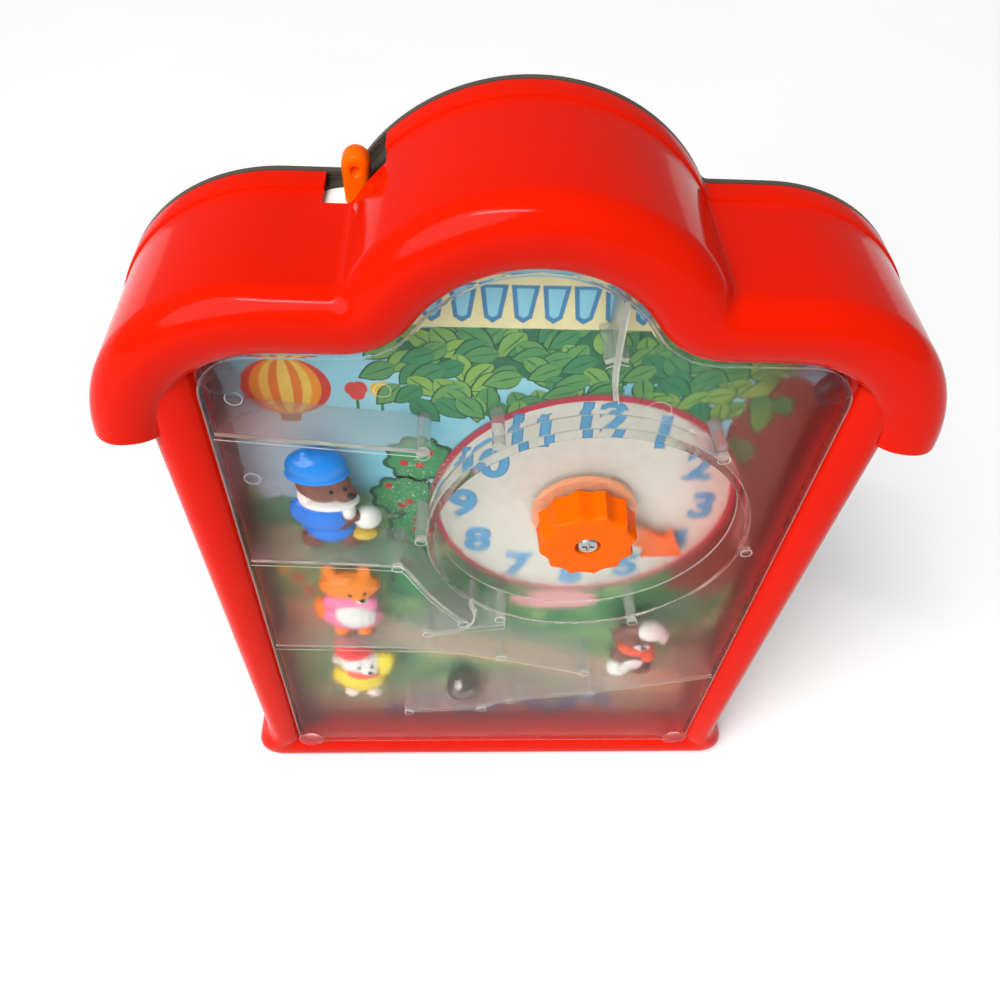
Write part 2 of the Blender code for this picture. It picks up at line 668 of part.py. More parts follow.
def cover_form(name, inset, front, back):
    """The case's whole outline as one slab."""
    roof, body = roof_outline(inset), body_outline(inset)
    slab = loft(name + "_roof", [(roof, front), (roof, back)], flat_end=True)
    return join(slab, loft(name + "_body", [(body, front), (body, back)], flat_end=True))


def build_rear_cover(dark):
    """The tray-shaped back: a plate with a softened edge, and a lip and cups inside the shell."""
    back = COVER_DEPTH + COVER_THICKNESS
    steps = [(0, COVER_DEPTH), (0, back - COVER_EDGE), (COVER_EDGE, back)]
    cover = loft("cover_roof", [(roof_outline(inset), depth) for inset, depth in steps], flat_end=True)
    join(cover, loft("cover_body", [(body_outline(inset), depth) for inset, depth in steps], flat_end=True))
    seat = COVER_DEPTH + COVER_THICKNESS / 3
    lip = cover_form("lip_outside", WALL + GAP, LIP_START, seat)
    cut(lip, cover_form("lip_inside", WALL + GAP + LIP_THICKNESS, LIP_START - OVERRUN, seat - LAP))
    join(cover, lip)
    for place in cover_boss_places():
        join(cover, rod("cover_cup", place, COVER_BOSS_RADIUS, LIP_START, seat, 10))
        cut(cover, rod("cover_hole", place, SCREW_RADIUS + GAP, LIP_START - OVERRUN, back + OVERRUN, 10))
        cut(cover, rod("cover_sink", place, SCREW_HEAD_RADIUS + GAP, back - SCREW_HEAD_HEIGHT - GAP,
                       back + OVERRUN, 12))
    return shop.keep(tidy(cover), "rear_cover", dark)


def screw_profile(head_radius, head_height, radius, length, start, toward):
    """A pan-headed screw from its outer face, driven forwards (-1) or backwards (1)."""
    rim = head_height / 3
    outline = [(0, 0), (head_radius - rim, 0), (head_radius, rim), (head_radius, head_height),
               (radius, head_height), (radius, head_height + length - radius), (0, head_height + length)]
    points = [(r, start + toward * d) for r, d in outline]
    return points if toward > 0 else list(reversed(points))


def build_cover_screws(steel):
    """The screws that hold the rear cover to the shell's bosses."""
    back = COVER_DEPTH + COVER_THICKNESS
    length = back - SCREW_HEAD_HEIGHT - LIP_START + COVER_SCREW_BITE - OVERRUN / 2
    for number, place in enumerate(cover_boss_places(), 1):
        profile = screw_profile(SCREW_HEAD_RADIUS, SCREW_HEAD_HEIGHT, SCREW_RADIUS, length, back, -1)
        shop.keep(turned("cover_screw", place, profile, 8), f"cover_screw_{number}", steel)


def cross_cutters(place, head_radius, front, back):
    """Two crossed slots for a screwdriver."""
    long = head_radius * CROSS_REACH_SHARE
    short = CROSS_WIDTH / 2
    x, z = place
    return [block("cross_a", (x - long, z - short), (x + long, z + short), front, back),
            block("cross_b", (x - short, z - long), (x + short, z + long), front, back)]


def well_hooks():
    """The hooked guide's two sides: from the dial's well down to a point, and back to the well."""
    out_radius = WELL_RADIUS + WELL_WALL / 2
    down = [polar(HOOK_START, out_radius)] + [dial_point(*share) for share in HOOK_DOWN_SHARES]
    back = [down[-1], dial_point(*HOOK_BACK_SHARE), polar(HOOK_END, out_radius)]
    return down, back


def maze_space():
    """The open space of the maze, which leaves the dial well, ribs and round posts standing."""
    front = PANEL_THICKNESS - LAP
    back = MAZE_END + 2 * OVERRUN
    space = plate("maze_space", [opening_outline(GAP + MAZE_WALL)], PANEL_THICKNESS, MAZE_END + OVERRUN)
    cut(space, rod("well_form", DIAL, WELL_RADIUS + WELL_WALL, front, back, 48))
    for name, shares in RIB_SHARES.items():
        cut(space, rib(name, [opening_point(*share) for share in shares], MAZE_WALL, front, back))
    for side in well_hooks():
        cut(space, rib("hook", side, MAZE_WALL, front, back))
    posts = [opening_point(*share) for share in RIB_POST_SHARES] + [dial_point(*HOOK_DOWN_SHARES[-1])]
    posts += [polar(angle, WELL_RADIUS + POST_RADIUS + LAP) for angle in WELL_POST_ANGLES]
    for place in posts:
        cut(space, rod("post", place, POST_RADIUS, front, back, 8))
    return space


def build_window(clear):
    """The clear moulding: front panel, rim wall, dial well, corner ears, maze ribs and round posts."""
    window = plate("panel", [opening_outline(GAP)], 0, MAZE_END)
    cut(window, maze_space())
    for place in ear_places():
        join(window, rod("ear", place, EAR_RADIUS, -LAP, PANEL_THICKNESS - LAP / 2, 16))
    cut(window, rod("well_bore", DIAL, WELL_RADIUS, -OVERRUN, WELL_FLOOR_DEPTH, 44))
    cut(window, rod("well_back", DIAL, WELL_RADIUS, FLOOR_BACK, MAZE_END + OVERRUN, 44))
    cut(window, rod("shaft_hole", DIAL, SHAFT_RADIUS + GAP, 0, FLOOR_BACK + OVERRUN, 20))
    return shop.keep(tidy(window), "window_maze", clear)


def figure_places():
    """Each figure's place and height, from the ribs above and below it and the room beside the dial."""
    wall = OPENING_HALF_WIDTH - GAP - MAZE_WALL
    well_left = DIAL_X - WELL_RADIUS - WELL_WALL - 2 * POST_RADIUS
    sides = {"left": (-wall, well_left), "right": (DIAL_X, wall)}
    ground = {"foot": OPENING_FOOT + MAZE_WALL}
    for name, shares in RIB_SHARES.items():
        points = [opening_point(*share) for share in shares]
        ground[name] = points
    places = {}
    for name, facts in FIGURES.items():
        start, stop = sides[facts["side"]]
        x = start + facts["across_share"] * (stop - start)
        low = height_on(ground[facts["floor"]], x) + MAZE_WALL / 2 + FIGURE_FOOT_PLAY
        if facts["ceiling"] == "well":
            reach = WELL_RADIUS + WELL_WALL + POST_RADIUS
            high = DIAL_Z - math.sqrt(reach ** 2 - (x - DIAL_X) ** 2)
        else:
            high = height_on(ground[facts["ceiling"]], x) - MAZE_WALL / 2
        room = high - FIGURE_HEAD_PLAY - low
        height = min(room * facts["height_share"], (stop - start) * FIGURE_TALL_SHARE)
        if facts["floor"] == "foot":
            low = high - FIGURE_HEAD_PLAY - height
        places[name] = (x, low, height)
    return places


def height_on(path, x):
    """Height of a rib at one X, or the plain height where there is no rib."""
    if not isinstance(path, list):
        return path
    ordered = sorted(path)
    return float(np.interp(x, [p[0] for p in ordered], [p[1] for p in ordered]))


def build_figures(steel):
    """Four small animals, each swinging on a pin that the chassis holds."""
    middle = BALL_DEPTH
    for number, (name, (x, foot, height)) in enumerate(figure_places().items(), 1):
        facts = FIGURES[name]
        pivot = (x, foot + FIGURE_PIVOT_SHARE * height)
        scale = FIGURE_THICKNESS / 2 / FIGURE_DEEPEST_SHARE
        body = None
        for across, up, half_width, half_height, half_depth in facts["forms_shares"]:
            centre = (x + across * height, foot + up * height)
            half_sizes = (half_width * height, half_depth * scale, half_height * height)
            form = ball("form", centre, middle, half_sizes, 8, 5)
            body = join(body, form) if body else form
        bore_front = CARD_DEPTH - PIN_REACH - GAP
        cut(body, rod("pin_bore", pivot, PIN_RADIUS + GAP, bore_front, CARD_DEPTH + OVERRUN, 12))
        finish = material(name + "_paint", facts["colour"], 0.5)
        axis = shop.empty(f"{name}_axis", (pivot[0], 0, pivot[1]))
        shop.keep(body, name, finish, (pivot[0], 0, pivot[1]), axis)
        start = CHASSIS_BACK + GAP + PIN_HEAD_HEIGHT
        length = start - PIN_HEAD_HEIGHT - CARD_DEPTH + PIN_REACH
        profile = screw_profile(PIN_HEAD_RADIUS, PIN_HEAD_HEIGHT, PIN_RADIUS, length, start, -1)
        shop.keep(turned("pin", pivot, profile, 8), f"figure_pin_{number}", steel)


def hole_loops(centres, radius, sides):
    """Round holes for a plate."""
    return [circle(centre, radius, sides) for centre in centres]


def figure_pivots():
    """Where the figures' pins pass."""
    return [(x, foot + FIGURE_PIVOT_SHARE * height) for x, foot, height in figure_places().values()]


def build_card(paper):
    """The printed card behind the maze."""
    loops = [opening_outline(-SKIRT_WALL)]
    loops += hole_loops([DIAL], SHAFT_RADIUS + GAP, 20)
    loops += hole_loops(figure_pivots(), PIN_RADIUS + GAP, 12)
    return shop.keep(plate("card", loops, CARD_DEPTH, CARD_DEPTH + CARD_THICKNESS), "backdrop_card", paper)


def build_chassis(white):
    """The plate that carries the shaft's bearing, the lever's boss, its stop and its spring shelf."""
    loops = [opening_outline(-CHASSIS_MARGIN)]
    loops += hole_loops(figure_pivots(), PIN_RADIUS + GAP, 12)
    loops += hole_loops(chassis_screw_places(), SCREW_RADIUS + GAP, 12)
    chassis = plate("chassis_form", loops, CHASSIS_DEPTH, CHASSIS_BACK)
    root = CHASSIS_BACK - LAP
    join(chassis, rod("bearing", DIAL, BEARING_RADIUS, root, BEARING_BACK, 24))
    cut(chassis, rod("bearing_bore", DIAL, SHAFT_RADIUS + GAP, CHASSIS_DEPTH - OVERRUN,
                     BEARING_BACK + OVERRUN, 20))
    pivot = (LEVER_X, LEVER_Z)
    join(chassis, rod("lever_boss", pivot, LEVER_BOSS_RADIUS, root, LEVER_FRONT - GAP, 16))
    cut(chassis, rod("lever_boss_bore", pivot, LEVER_PIN_RADIUS + GAP, CHASSIS_BACK + LAP,
                     LEVER_FRONT + OVERRUN, 12))
    stop = (LEVER_X + LEVER_WIDTH / 2 + LEVER_SHOULDER + GAP + LEVER_STOP_RADIUS, LEVER_Z + LEVER_STOP_HEIGHT)
    join(chassis, rod("lever_stop", stop, LEVER_STOP_RADIUS, root, LEVER_BACK, 10))
    spring_x = spring_centre_x()
    shelf_top = spring_low() - GAP
    half = SPRING_RADIUS + SPRING_WIRE_RADIUS + LAP
    shelf_low = (spring_x - half, shelf_top - SPRING_SHELF)
    join(chassis, block("spring_shelf", shelf_low, (spring_x + half, shelf_top), root, LEVER_BACK))
    anchor = leaf_anchor()
    join(chassis, rod("leaf_post", anchor, SCREW_HEAD_RADIUS, root, leaf_front() - GAP, 12))
    cut(chassis, rod("leaf_post_hole", anchor, SCREW_RADIUS + GAP, CHASSIS_BACK + LAP,
                     leaf_front() + OVERRUN, 10))
    return shop.keep(chassis, "chassis_plate", white)


def build_chassis_screws(steel):
    """Four screws through the chassis into the shell's short bosses."""
    start = CHASSIS_BACK + GAP + SCREW_HEAD_HEIGHT
    length = CHASSIS_THICKNESS + MAZE_END / 4
    for number, place in enumerate(chassis_screw_places(), 1):
        profile = screw_profile(SCREW_HEAD_RADIUS, SCREW_HEAD_HEIGHT, SCREW_RADIUS, length, start, -1)
        shop.keep(turned("chassis_screw", place, profile, 8), f"chassis_screw_{number}", steel)


def d_outline(extra):
    """The shaft's section: round with one flat, grown by a clearance."""
    radius = SHAFT_RADIUS + extra
    flat = math.degrees(math.acos((SHAFT_FLAT + extra) / radius))
    return arc(DIAL, radius, flat, 360 - flat, 18)


def fluted(radius, depth, count, steps):
    """A round outline with concave flutes between its ridges."""
    angles = np.linspace(0, 2 * math.pi, count * steps, endpoint=False)
    reach = radius - depth * np.abs(np.cos(angles * count / 2))
    return [(DIAL_X + r * math.cos(a), DIAL_Z + r * math.sin(a)) for r, a in zip(reach, angles)]


def hand_outline():
    """A round disc that runs out into an arrow, pointing at the hour."""
    neck = math.degrees(math.asin(HAND_NECK_HALF_WIDTH / HAND_DISC_RADIUS))
    disc = arc((0, 0), HAND_DISC_RADIUS, neck, 360 - neck, 28)
    arrow = [(HAND_BARB_REACH, -HAND_NECK_HALF_WIDTH), (HAND_BARB_REACH, -HAND_BARB_HALF_WIDTH),
             (HAND_REACH, 0),
             (HAND_BARB_REACH, HAND_BARB_HALF_WIDTH), (HAND_BARB_REACH, HAND_NECK_HALF_WIDTH)]
    turn = math.radians(HAND_ANGLE)
    c, s = math.cos(turn), math.sin(turn)
    return [(DIAL_X + x * c - z * s, DIAL_Z + x * s + z * c) for x, z in disc + arrow]


def build_hand_drive(orange, white, steel):
    """Knob, hand, shaft, click wheel and retainer, which all turn together."""
    origin = (DIAL_X, 0, DIAL_Z)
    axis = shop.empty("hand_axis", origin)
    front = -KNOB_RISE
    knob = loft("knob_form", [
        (fluted(KNOB_RADIUS - KNOB_EDGE, FLUTE_DEPTH, KNOB_FLUTES, 6), front),
        (fluted(KNOB_RADIUS - KNOB_EDGE / 4, FLUTE_DEPTH, KNOB_FLUTES, 6), front + KNOB_EDGE / 2),
        (fluted(KNOB_RADIUS, FLUTE_DEPTH, KNOB_FLUTES, 6), front + KNOB_EDGE * 2),
        (fluted(KNOB_RADIUS + KNOB_DRAFT, FLUTE_DEPTH, KNOB_FLUTES, 6), KNOB_BASE)])
    cut(knob, rod("knob_recess", DIAL, KNOB_RECESS_RADIUS, front - OVERRUN, front + KNOB_RECESS_DEPTH, 24))
    cut(knob, plate("knob_bore", [d_outline(GAP)], SHAFT_FRONT - GAP, KNOB_BASE + OVERRUN))
    cut(knob, rod("knob_screw_way", DIAL, KNOB_SCREW_RADIUS + GAP, front, SHAFT_FRONT + OVERRUN, 12))
    shop.keep(knob, "knob", orange, origin, axis)
    head_back = front + KNOB_RECESS_DEPTH - GAP
    head_front = head_back - KNOB_SCREW_HEAD_HEIGHT
    bite = KNOB_BASE - SHAFT_FRONT
    profile = screw_profile(KNOB_SCREW_HEAD_RADIUS, KNOB_SCREW_HEAD_HEIGHT, KNOB_SCREW_RADIUS,
                            SHAFT_FRONT - head_back + bite, head_front, 1)
    screw = turned("knob_screw_form", DIAL, profile, 20)
    cut(screw, *cross_cutters(DIAL, KNOB_SCREW_HEAD_RADIUS, head_front - OVERRUN,
                              head_front + KNOB_SCREW_HEAD_HEIGHT / 2))
    shop.keep(screw, "knob_screw", steel, parent=axis)
    shaft = plate("shaft_form", [d_outline(0)], SHAFT_FRONT, SHAFT_BACK)
    cut(shaft, rod("shaft_tap", DIAL, KNOB_SCREW_RADIUS + GAP, SHAFT_FRONT - OVERRUN, KNOB_BASE + LAP, 12))
    groove_front = RETAINER_DEPTH - GAP
    groove_back = RETAINER_DEPTH + RETAINER_THICKNESS + GAP
    groove = rod("groove_out", DIAL, SHAFT_RADIUS + OVERRUN, groove_front, groove_back, 20)
    cut(groove, rod("groove_in", DIAL, SHAFT_FLAT - LAP, groove_front - OVERRUN, groove_back + OVERRUN, 16))
    cut(shaft, groove)
    shop.keep(shaft, "hand_shaft", steel, origin, axis)
    hand = plate("hand_form", [hand_outline()], HAND_DEPTH, HAND_DEPTH + HAND_THICKNESS)
    join(hand, rod("hand_boss", DIAL, HAND_BOSS_RADIUS, HAND_DEPTH + LAP, MAZE_END, 24))
    cut(hand, plate("hand_bore", [d_outline(GAP)], HAND_DEPTH - OVERRUN, MAZE_END + OVERRUN))
    shop.keep(hand, "clock_hand", orange, origin, axis)
    wheel = plate("wheel_form", [click_outline(), d_outline(GAP)], CLICK_DEPTH, CLICK_DEPTH + CLICK_THICKNESS)
    shop.keep(wheel, "click_wheel", white, origin, axis)
    clip = plate("clip_form", [clip_outline()], RETAINER_DEPTH, RETAINER_DEPTH + RETAINER_THICKNESS)
    shop.keep(clip, "shaft_retainer", steel, origin, axis)


def click_outline():
    """Rounded teeth with a valley straight above the shaft."""
    angles = np.linspace(0, 2 * math.pi, CLICK_TEETH * 4, endpoint=False)
    reach = CLICK_RADIUS - CLICK_TOOTH_DEPTH * (1 + np.cos(angles * CLICK_TEETH)) / 2
    return [(DIAL_X + r * math.cos(a), DIAL_Z + r * math.sin(a)) for r, a in zip(reach, angles)]


def clip_outline():
    """An open ring that snaps into the shaft's groove."""
    inner = SHAFT_FLAT - LAP + GAP
    return arc(DIAL, RETAINER_RADIUS, 35, 325, 20) + arc(DIAL, inner, 325, 35, 16)


def leaf_front():
    """Depth where the click spring's leaf starts, centred on the click wheel."""
    return CLICK_DEPTH + (CLICK_THICKNESS - LEAF_WIDTH) / 2


def leaf_height():
    """Height of the leaf's middle plane above the click wheel."""
    return DIAL_Z + CLICK_RADIUS + PLAY + LEAF_THICKNESS / 2


def leaf_anchor():
    """Centre of the screw that holds the leaf's tab."""
    return DIAL_X + LEAF_REACH, leaf_height() + LEAF_THICKNESS / 2 + SCREW_HEAD_RADIUS


def build_click_spring(steel):
    """A leaf spring whose nose drops into a valley of the click wheel, with its screw."""
    front = leaf_front()
    back = front + LEAF_WIDTH
    top = leaf_height() + LEAF_THICKNESS / 2
    low = top - LEAF_THICKNESS
    anchor = leaf_anchor()
    nose_tip = DIAL_Z + CLICK_RADIUS - CLICK_TOOTH_DEPTH + GAP
    lift = LEAF_THICKNESS / 4
    nose = [(DIAL_X + LEAF_NOSE, low), (DIAL_X + LEAF_NOSE / 3, nose_tip), (DIAL_X - LEAF_NOSE / 3, nose_tip),
            (DIAL_X - LEAF_NOSE, low + lift)]
    tail = DIAL_X - LEAF_NOSE * 2
    end = anchor[0] + SCREW_HEAD_RADIUS
    outline = [(end, low)] + nose + [(tail, low + 2 * lift), (tail, top + lift), (end, top)]
    leaf = plate("leaf_form", [outline], front, back)
    tab_back = front + LEAF_THICKNESS
    tab_top = anchor[1] + SCREW_HEAD_RADIUS
    tab_low = (anchor[0] - SCREW_HEAD_RADIUS, low + LEAF_THICKNESS / 4)
    join(leaf, block("leaf_tab", tab_low, (end - LEAF_THICKNESS / 8, tab_top), front + LEAF_THICKNESS / 8,
                     tab_back))
    cut(leaf, rod("leaf_hole", anchor, SCREW_RADIUS + GAP, front - OVERRUN, tab_back + OVERRUN, 10))
    shop.keep(leaf, "click_spring", steel)
    start = tab_back + GAP + SCREW_HEAD_HEIGHT
    head = SCREW_HEAD_RADIUS - GAP * 2
    length = tab_back - CHASSIS_BACK - LAP
    profile = screw_profile(head, SCREW_HEAD_HEIGHT, SCREW_RADIUS, length, start, -1)
    shop.keep(turned("leaf_screw", anchor, profile, 10), "click_spring_screw", steel)


def spring_centre_x():
    """X of the lever's return spring, under the end of its side arm."""
    return LEVER_X - LEVER_ARM_REACH + SPRING_RADIUS


def spring_low():
    """Height of the spring's lower end."""
    return LEVER_Z - LEVER_ARM_THICKNESS / 2 - GAP - SPRING_LENGTH


def build_lever(orange, white, steel):
    """The lever in the roof's notch, with its shutter, pin and return spring."""
    pivot = (LEVER_X, LEVER_Z)
    origin = (LEVER_X, 0, LEVER_Z)
    axis = shop.empty("lever_axis", origin)
    half = LEVER_WIDTH / 2
    shoulder = LEVER_Z + SHUTTER_RADIUS - SHUTTER_WALL - GAP * 2
    broad = half + LEVER_SHOULDER
    top = arc((LEVER_X, LEVER_TOP - half), half, 0, 180, 8)
    outline = [(LEVER_X - broad, LEVER_Z), (LEVER_X + broad, LEVER_Z), (LEVER_X + broad, shoulder),
               (LEVER_X + half, shoulder)] + top + [(LEVER_X - half, shoulder), (LEVER_X - broad, shoulder)]
    lever = plate("lever_form", [outline], LEVER_FRONT, LEVER_BACK)
    soften = lever.modifiers.new("Rounding", "BEVEL")
    soften.width = LEVER_WIDTH / 6
    soften.segments = 1
    soften.limit_method = "ANGLE"
    soften.angle_limit = math.radians(60)
    arm_low = (LEVER_X - LEVER_ARM_REACH, LEVER_Z - LEVER_ARM_THICKNESS / 2)
    arm_high = (LEVER_X, LEVER_Z + LEVER_ARM_THICKNESS / 2)
    join(lever, rod("lever_hub", pivot, LEVER_HUB_RADIUS, LEVER_FRONT, LEVER_BACK, 20))
    join(lever, block("lever_arm", arm_low, arm_high, LEVER_FRONT + LAP, LEVER_BACK - LAP))
    cut(lever, rod("lever_bore", pivot, LEVER_PIN_RADIUS + GAP, LEVER_FRONT - OVERRUN,
                   LEVER_BACK + OVERRUN, 16))
    dimple_z = LEVER_TOP - LEVER_WIDTH
    cut(lever, ball("dimple", (LEVER_X, dimple_z), LEVER_FRONT, (LEVER_DIMPLE_RADIUS,) * 3, 12, 8))
    shop.keep(lever, "lever", orange, origin, axis)
    start, stop = 90 - SHUTTER_SWEEP, 90 + SHUTTER_SWEEP
    band = arc(pivot, SHUTTER_RADIUS, start, stop, 12)
    band += arc(pivot, SHUTTER_RADIUS - SHUTTER_WALL, stop, start, 12)
    middle = (LEVER_FRONT + LEVER_BACK) / 2
    shutter = plate("shutter_form", [band], middle - SHUTTER_DEPTH / 2, middle + SHUTTER_DEPTH / 2)
    slot_low = (LEVER_X - half - GAP, LEVER_Z)
    slot_high = (LEVER_X + half + GAP, LEVER_TOP)
    cut(shutter, block("shutter_slot", slot_low, slot_high, LEVER_FRONT - GAP, LEVER_BACK + GAP))
    shop.keep(shutter, "lever_shutter", white, origin, axis)
    start = LEVER_BACK + GAP + LEVER_PIN_HEAD_HEIGHT
    length = LEVER_THICKNESS + (LEVER_FRONT - CHASSIS_BACK) / 2
    profile = screw_profile(LEVER_PIN_HEAD_RADIUS, LEVER_PIN_HEAD_HEIGHT, LEVER_PIN_RADIUS, length, start, -1)
    shop.keep(turned("lever_pin_form", pivot, profile, 14), "lever_pin", steel)
    build_lever_spring(steel)


def build_lever_spring(steel):
    """A small coil between the chassis shelf and the lever's side arm."""
    count = SPRING_TURNS * 10
    turns = np.linspace(0, 2 * math.pi * SPRING_TURNS, count + 1)
    rise = np.linspace(SPRING_WIRE_RADIUS, SPRING_LENGTH - SPRING_WIRE_RADIUS, count + 1)
    x = spring_centre_x() + SPRING_RADIUS * np.cos(turns)
    y = y_at((LEVER_FRONT + LEVER_BACK) / 2) + SPRING_RADIUS * np.sin(turns)
    z = spring_low() + rise
    curve = bpy.data.curves.new("lever_spring_path", "CURVE")
    curve.dimensions = "3D"
    curve.bevel_depth = SPRING_WIRE_RADIUS
    curve.bevel_resolution = 0
    curve.use_fill_caps = True
    spline = curve.splines.new("POLY")
    spline.points.add(count)
    spline.points.foreach_set("co", np.column_stack([x, y, z, np.ones(count + 1)]).ravel())
    least = SPRING_LENGTH / SPRING_TURNS - 2 * SPRING_WIRE_RADIUS
    print("lever spring, least gap between turns in mm:", round(least * 1000, 2))
    coil = solid_from_curve(shop.tool("lever_spring_form", curve), Matrix.Identity(4))
    shop.keep(coil, "lever_spring", steel)


def build_ball(chrome):
    """The ball, resting on the low ramp near its stop."""
    low_end = Vector(opening_point(*RIB_SHARES["ramp_low"][-1]))
    high_end = Vector(opening_point(*RIB_SHARES["ramp_low"][-2]))
    along = (high_end - low_end).normalized()
    normal = Vector((-along.y, along.x))
    stop = POST_RADIUS + math.sqrt(max((BALL_RADIUS + GAP) ** 2 - (BALL_RADIUS - POST_RADIUS) ** 2, 0))
    start = stop + BALL_START_SHARE * (high_end - low_end).length
    centre = low_end + along * start + normal * (MAZE_WALL / 2 + GAP + BALL_RADIUS)
    made = ball("ball_form", centre, BALL_DEPTH, (BALL_RADIUS,) * 3, 16, 10)
    shop.keep(made, "steel_ball", chrome, (centre.x, y_at(BALL_DEPTH), centre.y))
    print("ball centre in mm:", [round(v * 1000, 3) for v in centre], "slope:", tuple(along))


def main():
    """Build every piece of the clock."""
    red = material("red_gloss", (0.85, 0.02, 0.005), 0.25)
    dark = material("dark_grey", (0.035, 0.035, 0.03), 0.45)
    clear = material("clear_plastic", (0.85, 0.88, 0.86), 0.2, alpha=0.35)
    paper = material("printed_card", (0.45, 0.65, 0.60), 0.7)
    white = material("white_plastic", (0.85, 0.84, 0.80), 0.4)
    orange = material("orange_plastic", (0.95, 0.16, 0.01), 0.35)
    steel = material("zinc_steel", (0.6, 0.6, 0.6), 0.35, metallic=1.0)
    chrome = material("polished_steel", (0.55, 0.55, 0.55), 0.12, metallic=1.0)
    build_front_shell(red)
    build_rear_cover(dark)
    build_cover_screws(steel)
    build_window(clear)
    build_card(paper)
    build_chassis(white)
    build_chassis_screws(steel)
    build_hand_drive(orange, white, steel)
    build_click_spring(steel)
    build_lever(orange, white, steel)
    build_ball(chrome)
    build_figures(steel)


main()
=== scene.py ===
"""The looks of a toy clock: glossy red case, clear maze moulding, printed card, knob, ball and animals.

X runs to the viewer's right, Y from the front to the back and Z up, in metres. The origin is the middle
of the flat base. A depth is measured backwards from the front face of the clear moulding.
"""

import math

import bmesh
import bpy
import numpy as np
from bpy.props import FloatProperty, FloatVectorProperty, IntProperty, PointerProperty
from bpy.types import Operator, Panel, PropertyGroup
from mathutils import Matrix, Vector


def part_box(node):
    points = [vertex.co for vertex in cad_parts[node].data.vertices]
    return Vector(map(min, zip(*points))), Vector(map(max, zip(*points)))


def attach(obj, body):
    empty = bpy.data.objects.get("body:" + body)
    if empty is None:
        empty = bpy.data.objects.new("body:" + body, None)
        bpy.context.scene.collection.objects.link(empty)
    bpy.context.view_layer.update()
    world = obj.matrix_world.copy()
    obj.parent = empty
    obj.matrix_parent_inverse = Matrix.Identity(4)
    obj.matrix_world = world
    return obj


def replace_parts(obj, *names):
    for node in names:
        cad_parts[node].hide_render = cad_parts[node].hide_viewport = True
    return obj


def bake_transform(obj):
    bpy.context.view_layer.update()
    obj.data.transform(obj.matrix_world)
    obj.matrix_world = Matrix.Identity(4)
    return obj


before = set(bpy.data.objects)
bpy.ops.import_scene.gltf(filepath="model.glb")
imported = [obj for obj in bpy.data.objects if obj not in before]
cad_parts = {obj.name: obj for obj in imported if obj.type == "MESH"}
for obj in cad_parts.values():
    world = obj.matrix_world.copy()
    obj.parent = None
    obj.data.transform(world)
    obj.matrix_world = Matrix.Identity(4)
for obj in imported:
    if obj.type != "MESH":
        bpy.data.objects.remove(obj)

bl_info = {
    "name": "Toy clock looks",
    "version": (1, 0, 0),
    "blender": (4, 5, 0),
    "location": "3D View > Sidebar > Toy Clock",
    "description": "Dresses the packed toy clock with its finished surfaces, picture, animals and studio",
    "category": "Object",
}

# Places read from the frame
CASE_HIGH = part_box("front_shell")[1]
WINDOW_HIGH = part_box("window_maze")[1]
CARD_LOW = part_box("backdrop_card")[0]
KNOB_LOW, KNOB_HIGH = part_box("knob")
BALL_LOW, BALL_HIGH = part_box("steel_ball")
CASE_BACK = CASE_HIGH[1]
FRONT = -CASE_BACK
MAZE_END = WINDOW_HIGH[1] - FRONT
DIAL_X = (KNOB_LOW[0] + KNOB_HIGH[0]) / 2
DIAL_Z = (KNOB_LOW[2] + KNOB_HIGH[2]) / 2

# Sizes that the case shares with its frame
GAP = 0.0003
AIR = 0.00005
ROOF_HALF_WIDTH = 0.135
PEAK_HEIGHT = 0.332
SHOULDER_HEIGHT = 0.3015
EAVE_HEIGHT = 0.246
LOBE_RADIUS = 0.060
ARCH_RADIUS = 0.0625
VALLEY_RADIUS = 0.004
SIDE_HALF_WIDTH = 0.119
WAIST_HALF_WIDTH = 0.115
FOOT_HALF_WIDTH = 0.122
FOOT_HEIGHT = 0.026
FOOT_CORNER_RADIUS = 0.008
SIDE_TOP = 0.270
RIM_WIDTH = 0.009
RIM_RAISE = 0.0008
ROOF_BEAD_WIDTH = 0.022
ROOF_EDGE_DEPTH = 0.003
SIDE_EDGE_DEPTH = 0.004
BEAD_FALL = 0.010
CREST_SHARE = 0.45
SKIRT_WALL = 0.0012
NOTCH_LEFT = 0.0625
NOTCH_RIGHT = 0.043
NOTCH_DEPTH = 0.016
OPENING_HALF_WIDTH = 0.099
OPENING_FOOT = 0.020
OPENING_CORNER_RADIUS = 0.017
OPENING_FOOT_RADIUS = 0.004
OPENING_VALLEY_RADIUS = 0.024
ARCH_Z = PEAK_HEIGHT - ARCH_RADIUS
OPENING_TOP = SHOULDER_HEIGHT - ROOF_BEAD_WIDTH
OPENING_HEIGHT = OPENING_TOP - OPENING_FOOT

# Sizes of the clear moulding
PANEL = 0.002
HIGHLIGHT_BAND = 0.0003
SEAM = 0.0004
MAZE_WALL = 0.0016
WELL_RADIUS = 0.0565
WELL_WALL = 0.002
WELL_DEPTH = 0.011
SHAFT_HOLE = 0.0043
POST_RADIUS = 0.0022
EAR_RADIUS = 0.0065
EAR_REACH = 0.003
EAR_PROFILE = [(0, 0.0006), (0.5, 0.0008), (0.62, 0.0011), (0.85, 0.0010), (1, 0.0004), (1, 0.0001),
               (0, 0.0001)]
POST_SOFT = 0.0003
MOULD_RINGS = [((-0.0883, 0.2627), 0.0026), ((-0.0442, 0.2670), 0.0026), ((-0.0888, 0.2262), 0.0026),
               ((0.0395, 0.2600), 0.0042)]

